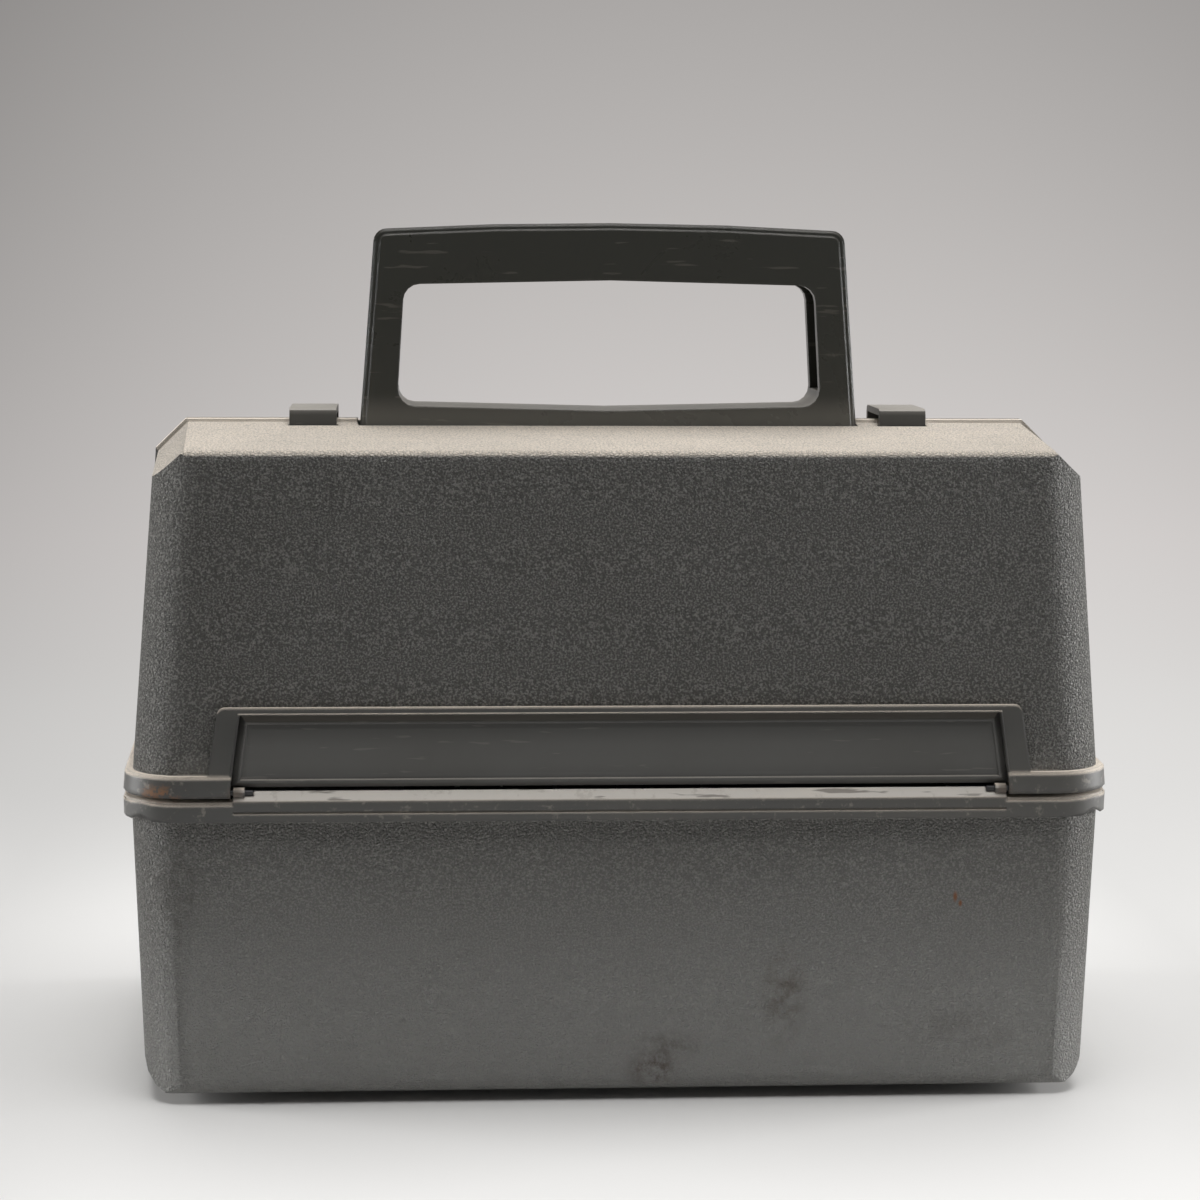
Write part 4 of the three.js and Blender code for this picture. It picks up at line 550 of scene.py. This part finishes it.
# The photographed name frame is wider than in the solids and its corners are tighter
FRAME_SPREAD = 0.0026
FRAME_LEAN, LIP_LEAN = 0.153, 0.1407
# A corner: x and z where its rounding starts, its radius, the share of it kept, and its lean
FRAME_CORNER = (0.10728, 0.11119, 0.0036, 0.55, FRAME_LEAN)
LIP_CORNER = (0.10113, 0.10898, 0.0036, 0.10, LIP_LEAN)
# The frame's place on the front cover, the notch below it, and where its corners are
FRAME_BACK_Y = -0.0750
FRAME_Z, FRAME_X = (0.0925, 0.1150), (0.100, 0.1150)
NOTCH_Z, NOTCH_X = 0.0928, 0.109
FRAME_CORNER_FROM = (0.1071, 0.1110)
LIP_CORNER_Z, LIP_CORNER_X = (0.1089, 0.1128), 0.1058
ON_ARC = 0.9


def tightened(x, z, corner):
    """Moves a point of a rounded corner towards the square one; the sides lean inward going up."""
    corner_x, corner_z, radius, keep, lean = corner
    upright = x + lean * (z - corner_z)
    centre = corner_x + lean * radius
    share_x = min(max((upright - centre) / radius, 0.0), 1.0)
    share_z = min(max((z - corner_z) / radius, 0.0), 1.0)
    if z < corner_z - 0.0001 or share_x ** 2 + share_z ** 2 <= ON_ARC:
        return x, z
    new_upright = upright + (1 - keep) * radius * (1 - share_x)
    new_z = z + (1 - keep) * radius * (1 - share_z)
    return new_upright - lean * (new_z - corner_z), new_z


def framed(point):
    """Where a point of the front cover's name frame lies on the photographed one."""
    x, y, z = point
    wide = abs(x)
    on_frame = y <= FRAME_BACK_Y and FRAME_Z[0] < z < FRAME_Z[1] and FRAME_X[0] < wide < FRAME_X[1]
    if not on_frame or (z < NOTCH_Z and wide > NOTCH_X):
        return Vector(point)
    if wide > FRAME_CORNER_FROM[0] and z > FRAME_CORNER_FROM[1]:
        wide, z = tightened(wide, z, FRAME_CORNER)
    elif LIP_CORNER_Z[0] < z < LIP_CORNER_Z[1] and wide < LIP_CORNER_X:
        wide, z = tightened(wide, z, LIP_CORNER)
    return Vector((math.copysign(wide + FRAME_SPREAD, x), y, z))


# Points closer together than the first become one, and edges shorter than the second go
MERGE, SLIVER = 0.000002, 0.000001
# Edges that bend more than this stay sharp
SHARP = math.radians(32)


def dressed(name, node):
    """A smooth-shaded copy of a solid that rides on the same body and stands for it."""
    slot = SLOTS[name]
    look = SPECIAL.get(name, LOOKS[slot])
    for held in node.material_slots:
        held.material = look
    mesh = node.data.copy()
    mesh.name = name + "_skin"
    work = bmesh.new()
    work.from_mesh(mesh)
    bmesh.ops.remove_doubles(work, verts=work.verts, dist=MERGE)
    bmesh.ops.dissolve_degenerate(work, dist=SLIVER, edges=work.edges)
    work.to_mesh(mesh)
    work.free()
    if name in SLIMMED:
        for vert in mesh.vertices:
            vert.co = slimmed(name, vert.co)
    if name == "front_cover":
        for vert in mesh.vertices:
            vert.co = framed(vert.co)
    if "custom_normal" in mesh.attributes:
        mesh.attributes.remove(mesh.attributes["custom_normal"])
    mesh.shade_smooth()
    mesh.set_sharp_from_angle(angle=SHARP)
    skin = bpy.data.objects.new(name + "_skin", mesh)
    bpy.context.scene.collection.objects.link(skin)
    mesh.materials.clear()
    mesh.materials.append(look)
    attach(skin, BODY[name])
    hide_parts(name)


def own_piece(name, verts, faces, look, body, stands_for=None):
    """A piece in mesh code, with its faces turned outward."""
    mesh = bpy.data.meshes.new(name)
    mesh.from_pydata(verts, [], faces)
    work = bmesh.new()
    work.from_mesh(mesh)
    bmesh.ops.recalc_face_normals(work, faces=work.faces)
    work.to_mesh(mesh)
    work.free()
    mesh.materials.append(look)
    obj = bpy.data.objects.new(name, mesh)
    bpy.context.scene.collection.objects.link(obj)
    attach(obj, body)
    if stands_for:
        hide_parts(stands_for)


# Half the panel's width at the level from which its sides lean inward going up
PANEL_HALF, LEAN_FROM = 0.10957, 0.09555
# How far the front leans back for each metre up
FACE_LEAN = 0.0304
# The panel's crest: its y at a level, and how far in from the side, the top and the foot
CREST_Y, CREST_FROM = -0.0775, 0.09275
CREST_SIDE, CREST_TOP, CREST_FOOT = 0.0019, 0.0020, 0.0018
# Share of the way in to the crest, further way in, and depth behind the crest
PANEL_STEPS = (
    (0.0, 0.0, 0.0016), (0.0, 0.0, 0.00135), (0.78, 0.0, 0.00015), (0.95, 0.0, 0.0),
    (1.0, 0.0002, 0.0), (1.0, 0.0004, 0.0001), (1.0, 0.00055, 0.0007), (1.0, 0.0020, 0.00062),
)


def rim_panel(node):
    """The name plate: a border that slopes up to a thin rim around a bare sunk face."""
    for held in node.material_slots:
        held.material = PLAIN
    verts, faces = [], []
    for share, extra, depth in PANEL_STEPS:
        low = PANEL_LOW + CREST_FOOT * share + extra
        high = PANEL_HIGH - CREST_TOP * share - extra
        for z, sign in ((low, -1), (low, 1), (high, 1), (high, -1)):
            half = PANEL_HALF - LIP_LEAN * (z - LEAN_FROM) - CREST_SIDE * share - extra
            verts.append((sign * half, CREST_Y + FACE_LEAN * (z - CREST_FROM) + depth, z))
    for ring in range(len(PANEL_STEPS) - 1):
        for i in range(4):
            a, b = 4 * ring + i, 4 * ring + (i + 1) % 4
            faces.append((a, b, b + 4, a + 4))
    last = 4 * (len(PANEL_STEPS) - 1)
    faces.append((3, 2, 1, 0))
    faces.append((last, last + 1, last + 2, last + 3))
    own_piece("name_panel_skin", verts, faces, PLAIN,
              BODY["name_panel"], "name_panel")


# The bead: its middle outside the recess, half its width, its height, and its levels
BEAD_OUT, BEAD_REACH, BEAD_PROUD = 0.00032, 0.00034, 0.00024
BEAD_FOOT, BEAD_HEAD = 0.0955, 0.1126
BEAD_STEPS = 6
# The gap between panel and recess, and the frame's face at the level where the lean starts
PANEL_GAP, FRAME_FACE_Y = 0.00015, -0.07829


def lip_bead():
    """A thin bead on the frame along the left, top and right of the recess."""
    verts, faces = [], []
    for step in range(BEAD_STEPS + 1):
        angle = math.pi * step / BEAD_STEPS
        out = BEAD_OUT + BEAD_REACH * math.cos(angle)
        rise = BEAD_PROUD * math.sin(angle)
        head = BEAD_HEAD + out
        for z, sign in ((BEAD_FOOT, -1), (head, -1), (head, 1), (BEAD_FOOT, 1)):
            half = PANEL_HALF + PANEL_GAP - LIP_LEAN * (z - LEAN_FROM) + out
            face = FRAME_FACE_Y + FACE_LEAN * (z - LEAN_FROM)
            verts.append((sign * half, face - rise, z))
    for step in range(BEAD_STEPS):
        for i in range(3):
            a = 4 * step + i
            faces.append((a, a + 1, a + 5, a + 4))
    under = 4 * BEAD_STEPS
    for i in range(3):
        faces.append((under + i, under + i + 1, i + 1, i))
    for end in (0, 3):
        faces.append([4 * step + end for step in range(BEAD_STEPS + 1)])
    own_piece("frame_lip_bead", verts, faces, CASE, "front_cover")


for name, node in frame["nodes"].items():
    if name == "name_panel":
        rim_panel(node)
    else:
        dressed(name, node)
lip_bead()


# Floor and backdrop, one sweep that turns up behind the object: its start, where it turns, its
# radius, top and half width
SWEEP_START, SWEEP_TURN, SWEEP_RADIUS, SWEEP_TOP, SWEEP_HALF = -2.4, 0.75, 0.6, 2.2, 3.0
SWEEP_FLOOR = (SWEEP_START, -0.6, -0.2, 0.2, SWEEP_TURN)
SWEEP_STEPS = 16
# Painted light: colours of the backdrop's glow over a run along the floor and up the wall; the two
# ends come first
BACKDROP_GLOW = (
    (0.0, (0.80, 0.792, 0.777)),
    (1.0, (0.38, 0.365, 0.356)),
    (0.10, (0.77, 0.762, 0.748)),
    (0.28, (0.72, 0.706, 0.692)),
    (0.45, (0.67, 0.642, 0.63)),
    (0.62, (0.575, 0.551, 0.539)),
)
RUN_ALONG_FLOOR = 0.40
# Where the backdrop's painted glow is brightest, its least share beside that, and its share far
# before the object
BRIGHTEST_X, DIMMEST, DIM_BEFORE = 0.19, 0.3, 0.12
# Levels of y between which the painted glow sets in behind the object and before it
GLOW_BEHIND, GLOW_BEFORE = (0.02, 0.45), (-1.1, -0.45)
FLOOR_DARK, FLOOR_PALE = (0.06, 0.058, 0.056), (0.72, 0.712, 0.70)
# Where the dark floor ends before the object, where the floor beside it is painted darker, and the
# paleness there and as seen
DARK_Y, DARK_X, PALE_IN_SIDE_SHADE, PALE_SEEN = (-0.42, -0.24), (0.13, 0.24), 0.70, 0.75


def sweep_mesh():
    line = [(y, 0.0) for y in SWEEP_FLOOR]
    for i in range(1, SWEEP_STEPS + 1):
        angle = math.pi / 2 * i / SWEEP_STEPS
        line.append((SWEEP_TURN + SWEEP_RADIUS * math.sin(angle),
                     SWEEP_RADIUS - SWEEP_RADIUS * math.cos(angle)))
    line.append((SWEEP_TURN + SWEEP_RADIUS, SWEEP_TOP))
    verts = [(side * SWEEP_HALF, y, z) for y, z in line for side in SIDES]
    faces = [(2 * i, 2 * i + 1, 2 * i + 3, 2 * i + 2) for i in range(len(line) - 1)]
    mesh = bpy.data.meshes.new("sweep")
    mesh.from_pydata(verts, [], faces)
    mesh.shade_smooth()
    return mesh


def paper():
    """Paper lit by the lamps near the object, and seen further away as painted light, a glow that
    dims away from its brightest place.
    """
    p = Paint("paper_sweep")
    x, y, z = (p.split.outputs[i] for i in range(3))
    # Painted light: the glow's colour along the run, and its strength falling off sideways and far
    # before the object
    run = p.math("ADD", p.times(y, RUN_ALONG_FLOOR), z)
    side = p.math("SUBTRACT", x, BRIGHTEST_X)
    fall = p.most(p.rest(p.times(side, side)), DIMMEST)
    fall = p.times(fall, p.ramp(y, SWEEP_START, GLOW_BEFORE[1], DIM_BEFORE, 1.0))
    tone = p.tree.nodes.new("ShaderNodeValToRGB")
    p.tree.links.new(run, tone.inputs[0])
    stops = tone.color_ramp.elements
    for i, (at, value) in enumerate(BACKDROP_GLOW):
        stop = stops[i] if i < 2 else stops.new(at)
        stop.position, stop.color = at, (*value, 1)
    glow = p.tree.nodes.new("ShaderNodeEmission")
    p.tree.links.new(tone.outputs[0], glow.inputs["Color"])
    p.link(fall, glow.inputs["Strength"])
    path = p.tree.nodes.new("ShaderNodeLightPath")
    rays = (path.outputs[kind + " Ray"] for kind in ("Is Camera", "Is Glossy", "Is Transmission"))
    seen = p.most(*rays)
    far = p.math("ADD", p.ramp(y, *GLOW_BEHIND), p.ramp(y, *GLOW_BEFORE, 1.0, 0.0))
    # The floor before the object throws little light back at it, but is seen as pale; beside the
    # object the floor is painted darker
    painted_side_shade = p.ramp(p.math("ABSOLUTE", x), *DARK_X, 1.0, PALE_IN_SIDE_SHADE)
    pale = p.most(p.times(p.ramp(y, *DARK_Y), painted_side_shade), p.times(seen, PALE_SEEN))
    p.done(p.mix(pale, FLOOR_DARK, FLOOR_PALE), 0.9)
    both = p.tree.nodes.new("ShaderNodeMixShader")
    p.tree.links.new(p.times(far, seen), both.inputs[0])
    p.tree.links.new(p.shader.outputs[0], both.inputs[1])
    p.tree.links.new(glow.outputs[0], both.inputs[2])
    p.tree.links.new(both.outputs[0], p.tree.nodes["Material Output"].inputs["Surface"])
    return p.mat


def sweep():
    obj = bpy.data.objects.new("sweep", sweep_mesh())
    bpy.context.scene.collection.objects.link(obj)
    obj.data.materials.append(paper())


sweep()

# The lamps: name, place, what it points at, size in metres, and watts
LAMPS = (
    ("overhead", (0.05, 0.0, 1.5), (0.0, 0.0, 0.1), (1.6, 1.2), 27),
    ("side_left", (-1.1, 0.14, 0.26), (0.0, 0.0, 0.12), (0.5, 0.4), 9),
    ("side_right", (1.1, 0.10, 0.26), (0.0, 0.0, 0.12), (0.5, 0.4), 12),
    ("low_front", (0.04, -0.32, 0.012), (0.04, -0.077, 0.02), (0.5, 0.02), 0.05),
)


def lamp(name, at, aim, size, watts):
    data = bpy.data.lights.new(name, "AREA")
    data.shape = "RECTANGLE"
    data.size, data.size_y = size
    data.energy = watts
    obj = bpy.data.objects.new(name, data)
    bpy.context.scene.collection.objects.link(obj)
    obj.visible_camera = False
    obj.location = at
    obj.rotation_mode = "QUATERNION"
    obj.rotation_quaternion = (Vector(aim) - Vector(at)).to_track_quat("-Z", "Y")


for values in LAMPS:
    lamp(*values)

WORLD_COLOR, WORLD_LEVEL = (1.0, 0.985, 0.965, 1), 0.045
world = bpy.data.worlds.new("room")
bpy.context.scene.world = world
world.use_nodes = True
background = world.node_tree.nodes["Background"]
background.inputs["Color"].default_value = WORLD_COLOR
background.inputs["Strength"].default_value = WORLD_LEVEL

# Camera: from slightly above and left of the middle, a long lens
FOCAL_PIXELS, PICTURE_PIXELS = 2956.0, 1200.0
PITCH, YAW, ROLL = math.radians(7.038), math.radians(3.644), math.radians(0.321)
EYE = Vector((-0.05891, -0.89756, 0.24643))
SENSOR_MM = 36.0
UP = Vector((0, 0, 1))
camera = bpy.data.cameras.new("camera")
camera.sensor_width = SENSOR_MM
camera.lens = FOCAL_PIXELS / PICTURE_PIXELS * SENSOR_MM
camera.clip_start, camera.clip_end = 0.01, 50
eye = bpy.data.objects.new("camera", camera)
bpy.context.scene.collection.objects.link(eye)
right = Vector((math.cos(YAW), -math.sin(YAW), 0))
level = Vector((math.sin(YAW), math.cos(YAW), 0))
forward = level * math.cos(PITCH) - UP * math.sin(PITCH)
upward = level * math.sin(PITCH) + UP * math.cos(PITCH)
side = right * math.cos(ROLL) + upward * math.sin(ROLL)
over = upward * math.cos(ROLL) - right * math.sin(ROLL)
eye.rotation_mode = "QUATERNION"
eye.rotation_quaternion = Matrix((side, over, -forward)).transposed().to_quaternion()
eye.location = EYE
bpy.context.scene.camera = eye
bpy.context.scene.view_settings.view_transform = "Standard"
